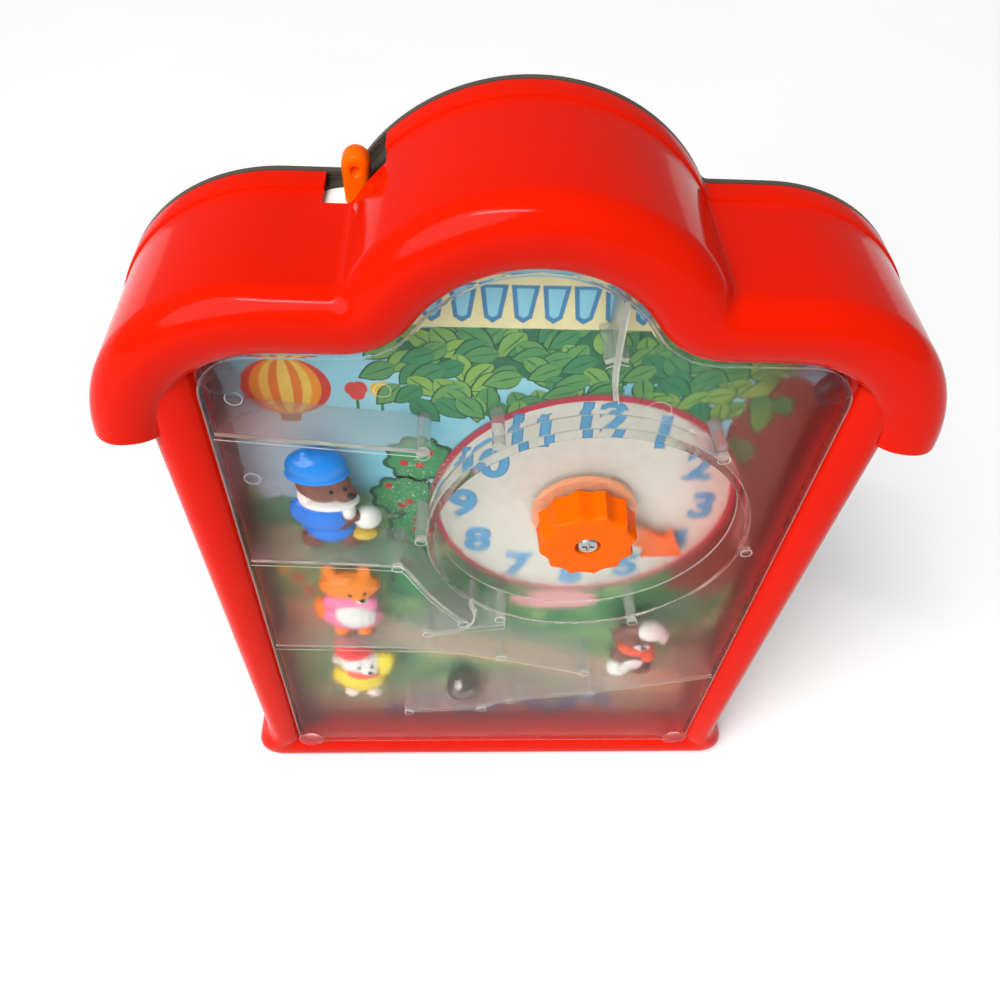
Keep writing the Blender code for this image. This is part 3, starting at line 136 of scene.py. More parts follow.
# Sizes of the lever
LEVER_HALF = 0.0042
LEVER_HUB_RADIUS = 0.006
LEVER_BORE = 0.0021
LEVER_ARM_HALF = 0.0025
LEVER_DIMPLE = 0.0018
SHUTTER_RISE = 0.0038
SHUTTER_WALL = 0.0015
SHUTTER_END = 0.0539
SPRING_WIRE = 0.0004
SPRING_TURNS = 6

# The maze's walls: points across half the opening's width and up its height, as shares
RAMPS = {
    "ramp_top": [(-0.985, 0.869), (-0.33, 0.842)],
    "ramp_upper": [(-0.985, 0.6063), (-0.4384, 0.5954), (-0.402, 0.582), (-0.3838, 0.5645),
                   (-0.2990, 0.5017), (-0.1838, 0.4428)],
    "ramp_middle": [(-0.985, 0.366), (-0.464, 0.358), (-0.258, 0.358), (-0.010, 0.331), (0.381, 0.277)],
    "ramp_low": [(0.985, 0.262), (0.433, 0.200), (0.052, 0.170), (-0.010, 0.162), (-0.082, 0.139),
                 (-0.433, 0.127)],
    "divider_stem": [(0.2657, 0.9356), (0.2455, 0.9707), (0.2404, 1.0405), (0.2404, 1.078)],
    "divider_arms": [(0.2091, 0.9946), (0.2445, 1.0008), (0.2788, 0.9981)],
}
POST_SHARES = [(-0.33, 0.842), (-0.4384, 0.5954), (-0.1838, 0.4428), (-0.010, 0.331), (0.381, 0.277),
               (0.433, 0.200), (0.052, 0.170), (-0.082, 0.139), (-0.433, 0.127)]

# The hooked guide: points round the dial as shares of the well's radius, and the angles where it starts
HOOK_ANGLES = (224, 241)
HOOK_DOWN = [(-0.6863, -0.9152), (-0.7406, -1.0714), (-0.8475, -1.1265), (-1.0473, -1.1587)]
HOOK_BACK = (-0.4865, -1.0576)
WELL_POST_ANGLES = (-65, -5, 50, 125, 180, 241)

# The animals' parts with their colours. Each egg is a row: its centre across, up and forward, its half
# sizes in the same order, all as shares of the figure's height, and the number and depth of its waves
BROWN, WHITE, BLACK = (0.19, 0.065, 0.04), (0.80, 0.80, 0.76), (0.01, 0.008, 0.008)
ANIMALS = {
    "bear": [
        ("fur", BROWN, [(-0.02, 0.68, 0.02, 0.17, 0.165, 0.105), (0.10, 0.63, 0.06, 0.085, 0.065, 0.065),
                        (-0.15, 0.78, -0.02, 0.05, 0.06, 0.035), (-0.13, 0.09, 0.02, 0.085, 0.085, 0.085),
                        (0.11, 0.09, 0.02, 0.085, 0.085, 0.085), (0.14, 0.37, 0.05, 0.09, 0.045, 0.05),
                        (0.0, 0.30, 0.0, 0.14, 0.20, 0.09)]),
        ("jumper", (0.01, 0.19, 0.75), [(-0.05, 0.34, 0.0, 0.185, 0.20, 0.112),
                                        (-0.18, 0.40, 0.02, 0.075, 0.12, 0.075),
                                        (-0.02, 0.17, 0.0, 0.165, 0.12, 0.105)]),
        ("cap", (0.003, 0.24, 0.82), [(-0.05, 0.86, 0.01, 0.185, 0.125, 0.118),
                                      (-0.05, 0.785, 0.01, 0.197, 0.04, 0.122, 16, 0.02),
                                      (-0.10, 0.97, 0.01, 0.045, 0.035, 0.04)]),
        ("scarf", WHITE, [(0.0, 0.515, 0.02, 0.19, 0.042, 0.118), (-0.13, 0.58, 0.03, 0.06, 0.06, 0.085),
                          (0.12, 0.45, 0.07, 0.045, 0.08, 0.055)]),
        ("ball", WHITE, [(0.225, 0.33, 0.03, 0.09, 0.095, 0.085)]),
        ("drum", (0.62, 0.42, 0.05), [(0.20, 0.16, 0.03, 0.085, 0.035, 0.08)]),
        ("eyes", BLACK, [(0.035, 0.70, 0.112, 0.016, 0.022, 0.014), (0.115, 0.70, 0.085, 0.014, 0.02, 0.014),
                         (0.155, 0.655, 0.11, 0.028, 0.022, 0.022)]),
    ],
    "fox": [
        ("fur", (0.92, 0.24, 0.003), [(0.01, 0.70, 0.01, 0.23, 0.155, 0.118),
                                      (0.08, 0.63, 0.07, 0.075, 0.055, 0.06),
                                      (-0.13, 0.88, 0.0, 0.05, 0.095, 0.03),
                                      (0.13, 0.88, 0.0, 0.05, 0.095, 0.03),
                                      (-0.235, 0.27, -0.03, 0.065, 0.17, 0.06),
                                      (-0.09, 0.05, 0.03, 0.07, 0.05, 0.08),
                                      (0.09, 0.05, 0.03, 0.07, 0.05, 0.08)]),
        ("dress", (0.88, 0.22, 0.42), [(0.0, 0.46, 0.0, 0.15, 0.14, 0.10),
                                       (0.0, 0.22, 0.0, 0.235, 0.17, 0.122, 9, 0.03),
                                       (-0.15, 0.44, 0.02, 0.06, 0.10, 0.065),
                                       (0.15, 0.44, 0.02, 0.06, 0.10, 0.065)]),
        ("apron", WHITE, [(0.03, 0.29, 0.045, 0.165, 0.165, 0.10, 14, 0.035),
                          (0.02, 0.42, 0.05, 0.11, 0.06, 0.075, 12, 0.04)]),
        ("muzzle", WHITE, [(0.10, 0.60, 0.085, 0.055, 0.038, 0.05)]),
        ("eyes", BLACK, [(0.02, 0.70, 0.125, 0.016, 0.02, 0.012), (0.13, 0.70, 0.108, 0.016, 0.02, 0.012),
                         (0.11, 0.625, 0.132, 0.022, 0.018, 0.014)]),
    ],
    "lamb": [
        ("wool", WHITE, [(0.0, 0.58, 0.0, 0.175, 0.145, 0.108), (0.07, 0.53, 0.07, 0.08, 0.065, 0.055),
                         (-0.17, 0.60, 0.0, 0.055, 0.05, 0.04), (0.17, 0.60, 0.0, 0.055, 0.05, 0.04),
                         (-0.09, 0.06, 0.02, 0.07, 0.06, 0.08), (0.09, 0.06, 0.02, 0.07, 0.06, 0.08),
                         (0.0, 0.28, 0.0, 0.15, 0.18, 0.09)]),
        ("coat", (0.88, 0.72, 0.03), [(-0.01, 0.27, 0.0, 0.20, 0.20, 0.118),
                                      (0.21, 0.62, 0.02, 0.075, 0.085, 0.075),
                                      (0.19, 0.48, 0.01, 0.065, 0.12, 0.065),
                                      (-0.18, 0.33, 0.01, 0.06, 0.12, 0.06)]),
        ("hat", (0.85, 0.03, 0.03), [(-0.04, 0.74, 0.0, 0.15, 0.07, 0.105),
                                     (-0.08, 0.82, 0.0, 0.105, 0.08, 0.085),
                                     (-0.12, 0.89, 0.0, 0.06, 0.07, 0.055)]),
        ("collar", (0.80, 0.10, 0.06), [(0.02, 0.44, 0.03, 0.14, 0.035, 0.10)]),
        ("eyes", BLACK, [(0.0, 0.61, 0.108, 0.014, 0.02, 0.012), (0.10, 0.61, 0.096, 0.014, 0.02, 0.012),
                         (0.085, 0.55, 0.127, 0.02, 0.014, 0.012)]),
    ],
    "puppy": [
        ("fur", BROWN, [(0.0, 0.70, 0.0, 0.20, 0.165, 0.120), (0.0, 0.33, 0.0, 0.19, 0.22, 0.118),
                        (-0.19, 0.70, 0.0, 0.055, 0.13, 0.06), (0.10, 0.10, 0.02, 0.10, 0.085, 0.10),
                        (-0.15, 0.36, 0.03, 0.07, 0.12, 0.07)]),
        ("patches", WHITE, [(0.09, 0.80, 0.03, 0.14, 0.10, 0.105), (0.21, 0.70, 0.02, 0.055, 0.13, 0.06),
                            (0.03, 0.62, 0.075, 0.085, 0.065, 0.06), (-0.11, 0.10, 0.035, 0.115, 0.09, 0.10),
                            (0.0, 0.28, 0.06, 0.11, 0.14, 0.075)]),
        ("scarf", (0.85, 0.10, 0.03), [(0.0, 0.50, 0.02, 0.175, 0.045, 0.125),
                                       (0.11, 0.40, 0.08, 0.07, 0.09, 0.06)]),
        ("eyes", BLACK, [(-0.03, 0.72, 0.125, 0.016, 0.022, 0.012), (0.08, 0.72, 0.134, 0.016, 0.022, 0.012),
                         (0.03, 0.65, 0.138, 0.028, 0.022, 0.014)]),
    ],
}
STANDS_ALONE = {"ball", "drum", "muzzle", "collar", "eyes"}
PAINT_GLOSS = {"cap": 0.12, "eyes": 0.1}
MELT_VOXEL = 0.00045
EGG_COLUMNS = 28
EGG_ROWS = 18
EGG_STRETCH = 1.12

# The camera, fitted to the photograph
CAMERA_PLACE = (-0.0235, -0.2184, 0.4485)
CAMERA_PITCH = 50.74
CAMERA_YAW = -5.03
CAMERA_ROLL = 4.47
CAMERA_LENS = 31.53


def length_setting(name, description, default):
    """A size for the sidebar, in metres."""
    return FloatProperty(name=name, description=description, default=default, unit="LENGTH")


def colour_setting(name, description, default):
    """A colour for the sidebar."""
    return FloatVectorProperty(name=name, description=description, default=default, subtype="COLOR")


class CaseSettings(PropertyGroup):
    """Sizes and colours of the red case and the dark cover."""

    wall: length_setting("Wall", "Thickness of the moulded shell", 0.0022)
    roof_rise: length_setting("Roof bead rise", "How far the roof's bead stands forward", 0.004)
    side_rise: length_setting("Side bead rise", "How far the body's bead stands forward", 0.001)
    red: colour_setting("Red", "Colour of the shell", (0.56, 0.0075, 0.0004))
    dark: colour_setting("Cover", "Colour of the rear cover", (0.060, 0.050, 0.038))
    steps: IntProperty(name="Steps", description="Steps round each quarter of a bead", default=16)


class WindowSettings(PropertyGroup):
    """The clear moulding and what shows through it."""

    haze: FloatProperty(name="Haze", description="Roughness that blurs what lies behind", default=0.30,
                        subtype="FACTOR")
    tint: colour_setting("Tint", "Colour of the clear plastic", (0.985, 0.99, 0.98))
    # Painted reflection: the colour the clear plastic takes near its edges, standing in for the red case's
    # light
    case_red_reflection: colour_setting("Case red reflection", "Colour near the edges of the clear plastic", (0.97, 0.54, 0.52))


class PictureSettings(PropertyGroup):
    """The printed card."""

    layer: length_setting("Layer", "Distance between two printed layers", 0.00004)
    disc_radius: length_setting("Dial disc", "Radius of the cream disc", 0.0547)
    ring_radius: length_setting("Dial ring", "Outer radius of the red ring", 0.0577)
    digit_radius: length_setting("Digit circle", "Radius that the digits stand on", 0.0455)
    digit_size: length_setting("Digit size", "Height of a digit", 0.0205)
    leaf_length: length_setting("Leaf", "Length of a printed leaf", 0.0122)


class StudioSettings(PropertyGroup):
    """Floor and lights."""

    floor_size: length_setting("Floor", "Radius of the pale floor", 6.0)
    sky: FloatProperty(name="Sky", description="Strength of the even light", default=0.32)
    window: FloatProperty(name="Window", description="Strength of the soft light from the left front",
                          default=3.5)
    window_width: FloatProperty(name="Window width", description="Angle that the soft light spans",
                                default=0.9, subtype="ANGLE")
    panel: FloatProperty(name="Panel", description="Power of the strip that marks highlights",
                         default=5.4)


def arc(centre, radius, start, stop, steps):
    """Points on a circle: the centre plus the radius times cosine and sine of evenly spread degrees."""
    angles = np.radians(np.linspace(start, stop, steps + 1))
    return np.column_stack([centre[0] + radius * np.cos(angles), centre[1] + radius * np.sin(angles)])


def straight(start, stop, steps):
    """Evenly spread points of a straight line, without its two ends."""
    shares = np.linspace(0, 1, steps + 2)[1:-1, None]
    return np.asarray(start) * (1 - shares) + np.asarray(stop) * shares


def crown(arch_radius, valley_radius, shoulder, split=None):
    """Right half of the arch with its valley: two circles that touch, up to the top of the arch."""
    rise = shoulder + valley_radius - ARCH_Z
    run = math.sqrt((arch_radius + valley_radius) ** 2 - rise ** 2)
    angle = math.degrees(math.atan2(rise, run))
    valley = arc((run, ARCH_Z + rise), valley_radius, -90, angle - 180, 12)
    if split is None:
        arch = arc((0, ARCH_Z), arch_radius, angle, 90, 44)
    else:
        arch = np.vstack([arc((0, ARCH_Z), arch_radius, angle, split, 12)[:-1],
                          arc((0, ARCH_Z), arch_radius, split, 90, 34)])
    return np.vstack([valley, arch[1:]])


def with_mirror(right):
    """The right half of an outline, followed by its mirror image in reverse."""
    left = right[::-1] * (-1, 1)
    keep = np.abs(left[:, 0]) > GAP / 10
    return np.vstack([right, left[keep]])


def roof_ring(inset):
    """The roof's outline moved inwards: eave circle, flat shoulder, valley and arch, open at the eaves."""
    radius = LOBE_RADIUS - inset
    centre = (ROOF_HALF_WIDTH - LOBE_RADIUS, SHOULDER_HEIGHT - LOBE_RADIUS)
    start = math.degrees(math.asin((EAVE_HEIGHT - centre[1]) / radius))
    top = SHOULDER_HEIGHT - inset
    split = math.degrees(math.acos(NOTCH_RIGHT / ARCH_RADIUS))
    half_crown = crown(ARCH_RADIUS - inset, VALLEY_RADIUS + inset, top, split)
    shoulder = [straight((centre[0], top), (NOTCH_LEFT, top), 2), [(NOTCH_LEFT, top)],
                straight((NOTCH_LEFT, top), half_crown[0], 2)]
    if NOTCH_LEFT <= half_crown[0][0]:
        shoulder = [straight((centre[0], top), half_crown[0], 5)]
    return with_mirror(np.vstack([arc(centre, radius, start, 90, 40), *shoulder, half_crown]))


def body_ring(inset):
    """The body's outline: flat base, round corner, cosine flare of the foot and upright side."""
    corner = FOOT_CORNER_RADIUS
    low = max(inset, 0)
    bottom = straight((0, low), (FOOT_HALF_WIDTH - corner, low), 12)
    foot = arc((FOOT_HALF_WIDTH - inset - corner, low + corner), corner, -90, 0, 10)
    share = np.linspace(0, 1, 15)[1:]
    flare = (FOOT_HALF_WIDTH - WAIST_HALF_WIDTH) * (1 + np.cos(np.pi * share)) / 2
    knee = np.column_stack([WAIST_HALF_WIDTH + flare - inset, corner + share * (FOOT_HEIGHT - corner)])
    side = straight(knee[-1], (SIDE_HALF_WIDTH - inset, SIDE_TOP), 12)
    right = np.vstack([bottom, foot, knee, side, [(SIDE_HALF_WIDTH - inset, SIDE_TOP)]])
    left = right[::-1] * (-1, 1)
    return np.vstack([left, right])


def opening_ring(inset):
    """The window opening moved inwards, closed: foot, sides, round shoulders and the arch."""
    half = OPENING_HALF_WIDTH - inset
    top = OPENING_TOP - inset
    foot_radius = OPENING_FOOT_RADIUS - inset
    corner = OPENING_CORNER_RADIUS - inset
    low = OPENING_FOOT + inset
    base = straight((0, low), (half - foot_radius, low), 24)
    foot = arc((half - foot_radius, low + foot_radius), foot_radius, -90, 0, 6)
    side = straight(foot[-1], (half, top - corner), 44)
    shoulder = arc((half - corner, top - corner), corner, 0, 90, 12)
    half_crown = crown(ARCH_RADIUS - ROOF_BEAD_WIDTH - inset, OPENING_VALLEY_RADIUS + inset, top)
    flat = straight(shoulder[-1], half_crown[0], 2)
    return with_mirror(np.vstack([base, foot, side, shoulder, flat, half_crown]))


def dial_ring(radius):
    """A circle round the dial whose points lie on the lines from its centre to the opening's points."""
    away = opening_ring(GAP) - (DIAL_X, DIAL_Z)
    away /= np.linalg.norm(away, axis=1)[:, None]
    return away * radius + (DIAL_X, DIAL_Z)


def stack(rows):
    """Rows of points in space, from outlines in X and Z, each with its depth or a depth for each point."""
    return np.array([np.column_stack([ring[:, 0], np.broadcast_to(FRONT + depth, len(ring)), ring[:, 1]])
                     for ring, depth in rows])


def grid_faces(rows, columns, closed_rows=False, closed_columns=False, removed=None):
    """Quads of a grid of points, wrapped round where it is closed, without those that a mask removes."""
    r = np.arange(rows if closed_rows else rows - 1)
    c = np.arange(columns if closed_columns else columns - 1)
    r, c = np.meshgrid(r, c, indexing="ij")
    r2, c2 = (r + 1) % rows, (c + 1) % columns
    faces = np.stack([r * columns + c, r * columns + c2, r2 * columns + c2, r2 * columns + c], axis=-1)
    return (faces if removed is None else faces[~removed]).reshape(-1, 4).tolist()


def linked(name, data):
    """A new object in the scene."""
    made = bpy.data.objects.new(name, data)
    bpy.context.scene.collection.objects.link(made)
    return made


def build(name, points, faces, finish, body="case", slot=None, smooth=40, weld=True):
    """A piece from arrays: welded and turned outwards, or a flat one turned to the viewer."""
    mesh = bpy.data.meshes.new(name)
    mesh.from_pydata(np.asarray(points).reshape(-1, 3).tolist(), [], faces)
    if weld:
        shape = bmesh.new()
        shape.from_mesh(mesh)
        bmesh.ops.remove_doubles(shape, verts=shape.verts, dist=1e-7)
        bmesh.ops.dissolve_degenerate(shape, edges=shape.edges, dist=1e-8)
        bmesh.ops.recalc_face_normals(shape, faces=shape.faces)
        shape.to_mesh(mesh)
        shape.free()
    else:
        face_viewer(mesh)
    mesh.validate()
    return place(name, mesh, finish, body, slot, smooth)


def face_viewer(mesh):
    """Turns a flat mesh over if it faces away from the front."""
    if sum(p.area * p.normal.y for p in mesh.polygons) > 0:
        mesh.flip_normals()


def place(name, mesh, finish, body, slot=None, smooth=40):
    """Links a mesh as a piece: a named finish or a material, and the body, if it has only one."""
    if isinstance(finish, str):
        slot = slot or SLOTS[finish]
        finish = finishes()[finish]
    piece = linked(name, mesh)
    mesh.materials.clear()
    mesh.materials.append(finish)
    mesh.shade_smooth()
    if smooth:
        mesh.set_sharp_from_angle(angle=math.radians(smooth))
    if body:
        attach(piece, body)
    return piece


def dress(finish, *nodes):
    """Gives nodes of the frame their finish."""
    for node in nodes:
        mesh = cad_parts[node].data
        mesh.materials.clear()
        mesh.materials.append(finishes()[finish])


def grid_piece(name, points, finish, body="case", smooth=40, closed_rows=False, closed_columns=False,
               caps=()):
    """A piece whose surface is one grid of points, with chosen end rows filled."""
    rows, columns = points.shape[:2]
    faces = grid_faces(rows, columns, closed_rows, closed_columns)
    for row in caps:
        faces.append([(row % rows) * columns + i for i in range(columns)])
    return build(name, points, faces, finish, body, smooth=smooth)


def beam(rows):
    """Points and faces of a solid between open outlines, closed round its section, with its ends filled."""
    points = stack(rows)
    height, width = points.shape[:2]
    faces = grid_faces(height, width, closed_rows=True)
    faces += [[row * width + end for row in range(height)] for end in (0, width - 1)]
    return points, faces


def hoop(centre, inner, outer, depth, steps):
    """Points and faces of a flat ring between two circles."""
    rows = [(arc(centre, radius, 0, 360, steps)[:-1], depth) for radius in (inner, outer)]
    return stack(rows), grid_faces(2, steps, closed_columns=True)


def joined(parts):
    """One list of points and one of faces from several, with the face indices moved on."""
    points, faces, start = [], [], 0
    for own_points, own_faces in parts:
        own_points = np.asarray(own_points).reshape(-1, 3)
        points.append(own_points)
        faces += [[start + i for i in face] for face in own_faces]
        start += len(own_points)
    return np.vstack(points), faces


def turned(centre, profile, steps=64, tube=False):
    """Points and faces of a profile of radius and depth, turned about a line from front to back.

    A tube's profile is a closed loop without its last point; any other profile has its ends filled.
    """
    angles = np.linspace(0, 2 * np.pi, steps, endpoint=False)
    profile = np.asarray(profile, float)
    x = centre[0] + profile[:, :1] * np.cos(angles)
    z = centre[1] + profile[:, :1] * np.sin(angles)
    y = np.broadcast_to(FRONT + profile[:, 1:], x.shape)
    faces = grid_faces(len(profile), steps, tube, True)
    for row in (0, len(profile) - 1):
        if profile[row, 0] > 0 and not tube:
            faces.append([row * steps + i for i in range(steps)])
    return np.stack([x, y, z], axis=-1), faces


class Nodes:
    """A material whose Principled shader gets its values from a few texture nodes."""

    def __init__(self, name, colour, roughness, metallic=0.0):
        self.material = bpy.data.materials.new(name)
        self.material.use_nodes = True
        self.tree = self.material.node_tree
        self.coordinates = self.add("TexCoord", "Object", {})
        self.set("Base Color", colour)
        self.set("Roughness", roughness)
        self.set("Metallic", metallic)

    def feed(self, socket, value):
        """Sets a number, a place or a colour on a socket, or links an output to it."""
        if isinstance(value, bpy.types.NodeSocket):
            self.tree.links.new(value, socket)
        elif isinstance(value, tuple):
            socket.default_value = (*value, 1)[:len(socket.default_value)]
        else:
            socket.default_value = value

    def set(self, socket, value):
        """Feeds one of the shader's own sockets."""
        self.feed(self.tree.nodes["Principled BSDF"].inputs[socket], value)

    def add(self, kind, output, inputs, **settings):
        """Adds a node with its inputs and settings, and gives one of its outputs."""
        node = self.tree.nodes.new("ShaderNode" + kind)
        for name, value in settings.items():
            setattr(node, name, value)
        for key, value in inputs.items():
            self.feed(node.inputs[key], value)
        return node.outputs[output]

    def noise(self, scale, detail=3.0, stretch=None):
        """Noise over the object, with an optional stretch along its axes."""
        source = self.coordinates
        if stretch:
            source = self.add("Mapping", "Vector", {"Vector": source, "Scale": stretch})
        return self.add("TexNoise", "Fac", {"Vector": source, "Scale": scale, "Detail": detail})

    def spread(self, value, low, high, start=0.3, stop=0.7):
        """A value carried from one range to another."""
        return self.add("MapRange", "Result", {"Value": value, "From Min": start, "From Max": stop,
                                               "To Min": low, "To Max": high})

    def mix(self, share, first, second, blend="MIX"):
        """Two colours mixed by a share; each is a colour or a socket."""
        return self.add("Mix", 2, {0: share, 6: first, 7: second}, data_type="RGBA", blend_type=blend)

    def axis(self, name):
        """How far a point lies along X, Y or Z."""
        return self.add("SeparateXYZ", name, {"Vector": self.coordinates})

    def away(self, spot):
        """How far a point lies from a place."""
        return self.add("VectorMath", "Value", {0: self.coordinates, 1: spot}, operation="DISTANCE")

    def reckon(self, operation, first, second):
        """Two values joined by a sum, a product or the larger one."""
        return self.add("Math", 0, {0: first, 1: second}, operation=operation)

    def bump(self, height, distance):
        """Small relief from a height, in metres."""
        self.set("Normal", self.add("Bump", "Normal", {"Height": height, "Distance": distance,
                                                       "Strength": 1.0}))


def tone(colour, factor):
    """A lighter or darker tone of a colour."""
    return tuple(min(channel * factor, 1.0) for channel in colour)


def moulded(name, colour, roughness, flow=0.93, scuff=0.10, relief=0.00002, sheen=0.35):
    """Moulded plastic: slow colour drift, scuffed gloss and a faint waviness."""
    made = Nodes(name, colour, roughness)
    drift = made.spread(made.noise(14), 0, 1)
    made.set("Base Color", made.mix(drift, tone(colour, flow), tone(colour, 2 - flow)))
    scratches = made.noise(260, 6, (1, 1, 7))
    made.set("Roughness", made.spread(scratches, roughness, roughness + scuff, 0.45, 0.75))
    made.bump(made.noise(90, 4), relief)
    made.set("Specular IOR Level", sheen)
    return made.material


def veiled_by_haze(name, colour, pale):
    """Orange plastic of the hand, with a painted pale veil round its hub, where it shows washed out through
    the haze in front.
    """
    made = Nodes(name, colour, 0.3)
    hub = made.away((DIAL_X, CARD_LOW[1], DIAL_Z))
    # Painted veil: pale within 16 mm of the hub, fading out by 30 mm
    made.set("Base Color", made.mix(made.spread(hub, 1, 0, 0.016, 0.030), colour, pale))
    made.set("Roughness", made.spread(made.noise(260, 6), 0.3, 0.4, 0.45, 0.75))
    made.bump(made.noise(90, 4), 0.00002)
    return made.material


def steel(name, colour, roughness):
    """Plated or polished metal with fine brushing."""
    made = Nodes(name, colour, roughness, metallic=1.0)
    brushing = made.noise(900, 4, (1, 12, 1))
    made.set("Roughness", made.spread(brushing, roughness * 0.7, roughness * 1.4))
    drift = made.spread(made.noise(60), 0, 1)
    made.set("Base Color", made.mix(drift, tone(colour, 0.85), tone(colour, 1.1)))
    made.bump(brushing, 0.00001)
    return made.material


def clear(name, tint, haze, bend, case_red_reflection, see_through=1.0):
    """Clear plastic hazed by wear, with fine scratches and a painted reflection of the red case near its
    edges.

    It is rougher away from the top middle, in the dial's well, in patches, and behind its smooth front.
    """
    made = Nodes(name, tint, haze)
    across, depth, height = made.axis("X"), made.axis("Y"), made.axis("Z")
    worn = made.spread(made.away((-0.018, FRONT, 0.262)), haze * 0.25, haze * 1.15, 0.035, 0.12)
    behind = made.spread(depth, 0.15, 1.3, FRONT + 0.0005, FRONT + 0.0015)
    sunk = made.reckon("MULTIPLY", behind, made.spread(depth, 1.0, 1.1, FRONT + 0.006, FRONT + 0.010))
    patches = made.spread(made.noise(30, 5), 0.75, 1.3)
    made.set("Roughness", made.reckon("MULTIPLY", made.reckon("MULTIPLY", worn, sunk), patches))
    # Painted reflection of the red case: the colour turns towards it near the right, low and left edges
    right = made.spread(across, 0, 1, 0.052, 0.098)
    low = made.spread(height, 0.58, 0, 0.022, 0.085)
    left = made.spread(across, 0.75, 0, -0.099, -0.070)
    near = made.reckon("MAXIMUM", made.reckon("MAXIMUM", right, low), left)
    cloudy = made.spread(made.noise(24, 4), 0.72, 1.15)
    made.set("Base Color", made.mix(made.reckon("MULTIPLY", near, cloudy), tint, case_red_reflection))
    made.bump(made.noise(420, 6, (1, 1, 3)), 0.00002)
    made.set("Transmission Weight", see_through)
    made.set("IOR", bend)
    return made.material


def highlit_edge_finish(name):
    """Pale edges of the clear moulding, part see-through: painted highlights where light catches them, in a
    patchy tone.
    """
    made = Nodes(name, (0.62, 0.62, 0.56), 0.45)
    # Painted highlights, in a patchy pale tone
    highlight_patches = made.spread(made.noise(120, 5), 0, 1)
    made.set("Base Color", made.mix(highlight_patches, (0.48, 0.49, 0.43), (0.74, 0.74, 0.67)))
    made.bump(made.noise(600, 4), 0.00002)
    made.set("Transmission Weight", 0.4)
    made.set("IOR", 1.3)
    return made.material


def printed(name):
    """Printed card: the painted colour of each shape, with ink mottle and paper grain."""
    made = Nodes(name, (1, 1, 1), 0.6)
    ink = made.add("Attribute", "Color", {}, attribute_name="paint")
    mottle = made.mix(made.spread(made.noise(240, 5), 0, 1), (0.72, 0.74, 0.72), (1.0, 1.0, 1.0))
    made.set("Base Color", made.mix(0.35, ink, mottle, "MULTIPLY"))
    made.bump(made.noise(1500, 2), 0.00001)
    return made.material


def meadow(name):
    """The card's own print: sky over far hills, a mottled meadow and darker ground below."""
    made = Nodes(name, (0.3, 0.5, 0.5), 0.65)
    level = made.reckon("ADD", made.axis("Z"), made.spread(made.noise(26, 4), -0.02, 0.02))
    sky_share = made.spread(level, 0, 1, 0.186, 0.200)
    sky = made.mix(made.spread(made.noise(18, 4), 0, 1, 0.45, 0.7), (0.22, 0.58, 0.71), (0.48, 0.73, 0.81))
    grass = made.mix(made.spread(made.noise(70, 6), 0, 1, 0.4, 0.6), (0.07, 0.24, 0.11),
                     (0.25, 0.42, 0.17))
    ground = made.mix(made.spread(level, 1, 0, 0.030, 0.060), grass, (0.34, 0.22, 0.15))
    made.set("Base Color", made.mix(sky_share, ground, sky))
    made.bump(made.noise(1500, 2), 0.00001)
    return made.material


def finishes():
    """Every finish of the clock, made once."""
    if FINISH:
        return FINISH
    case, window = bpy.context.scene.clock_case, bpy.context.scene.clock_window
    tint, case_red_reflection = tuple(window.tint), tuple(window.case_red_reflection)
    FINISH["shell"] = moulded("glossy red", tuple(case.red), 0.10, 0.97, 0.06, sheen=0.05)
    FINISH["cover"] = moulded("dark cover", tuple(case.dark), 0.42, 0.85, 0.15, 0.00004)
    FINISH["orange"] = moulded("orange plastic", (0.80, 0.102, 0.0005), 0.20, 0.95, sheen=0.04)
    FINISH["hand"] = veiled_by_haze("hand plastic", (0.90, 0.14, 0.004), (0.95, 0.50, 0.30))
    FINISH["white"] = moulded("white plastic", (0.82, 0.81, 0.77), 0.38, 0.94)
    FINISH["steel"] = steel("zinc plated steel", (0.44, 0.43, 0.41), 0.24)
    FINISH["chrome"] = steel("polished steel", (0.20, 0.195, 0.19), 0.20)
    # The clear finishes carry the case's red, painted near the moulding's edges as its reflection
    FINISH["clear"] = clear("hazed clear", tint, window.haze, 1.12, case_red_reflection)
    FINISH["thin"] = clear("thin clear", tone(tint, 0.88), window.haze, 1.14, tone(case_red_reflection, 1.15), 0.86)
    FINISH["frost"] = highlit_edge_finish("painted edge highlights")
    FINISH["print"] = printed("printed shapes")
    FINISH["meadow"] = meadow("printed card")
    return FINISH


FINISH = {}
SLOTS = {"shell": "shell_red", "cover": "cover_dark", "orange": "orange_plastic", "white": "white_plastic",
         "steel": "zinc_steel", "chrome": "polished_steel", "clear": "window_clear", "thin": "window_clear",
         "frost": "window_clear", "print": "card_print"}


def bead_profile(rise, edge_depth, steps):
    """Share across the bead and depth: a quarter round up to the crest and a longer one down from it."""
    first = np.radians(np.linspace(0, 90, steps + 1))
    second = first[1:]
    share = np.append(CREST_SHARE * (1 - np.cos(first)), CREST_SHARE + (1 - CREST_SHARE) * np.sin(second))
    depth = np.append(BEAD_FALL * (1 - np.sin(first)), (edge_depth + rise) * (1 - np.cos(second)))
    return list(zip(share, depth - rise))


def rim_profile():
    """Inset and depth of the raised back rim, from the back edge to the straight outer wall."""
    back = CASE_BACK - FRONT
    step = back - RIM_WIDTH
    soft = RIM_RAISE / 2
    return [(-soft, back), (-RIM_RAISE, back - soft), (-RIM_RAISE, step + soft),
            (-RIM_RAISE * 0.85, step + soft / 4), (-RIM_RAISE * 0.5, step),
            (-RIM_RAISE * 0.12, step - soft / 4), (0, step - soft),
            (0, back - NOTCH_DEPTH), (0, BEAD_FALL * 2.4)]


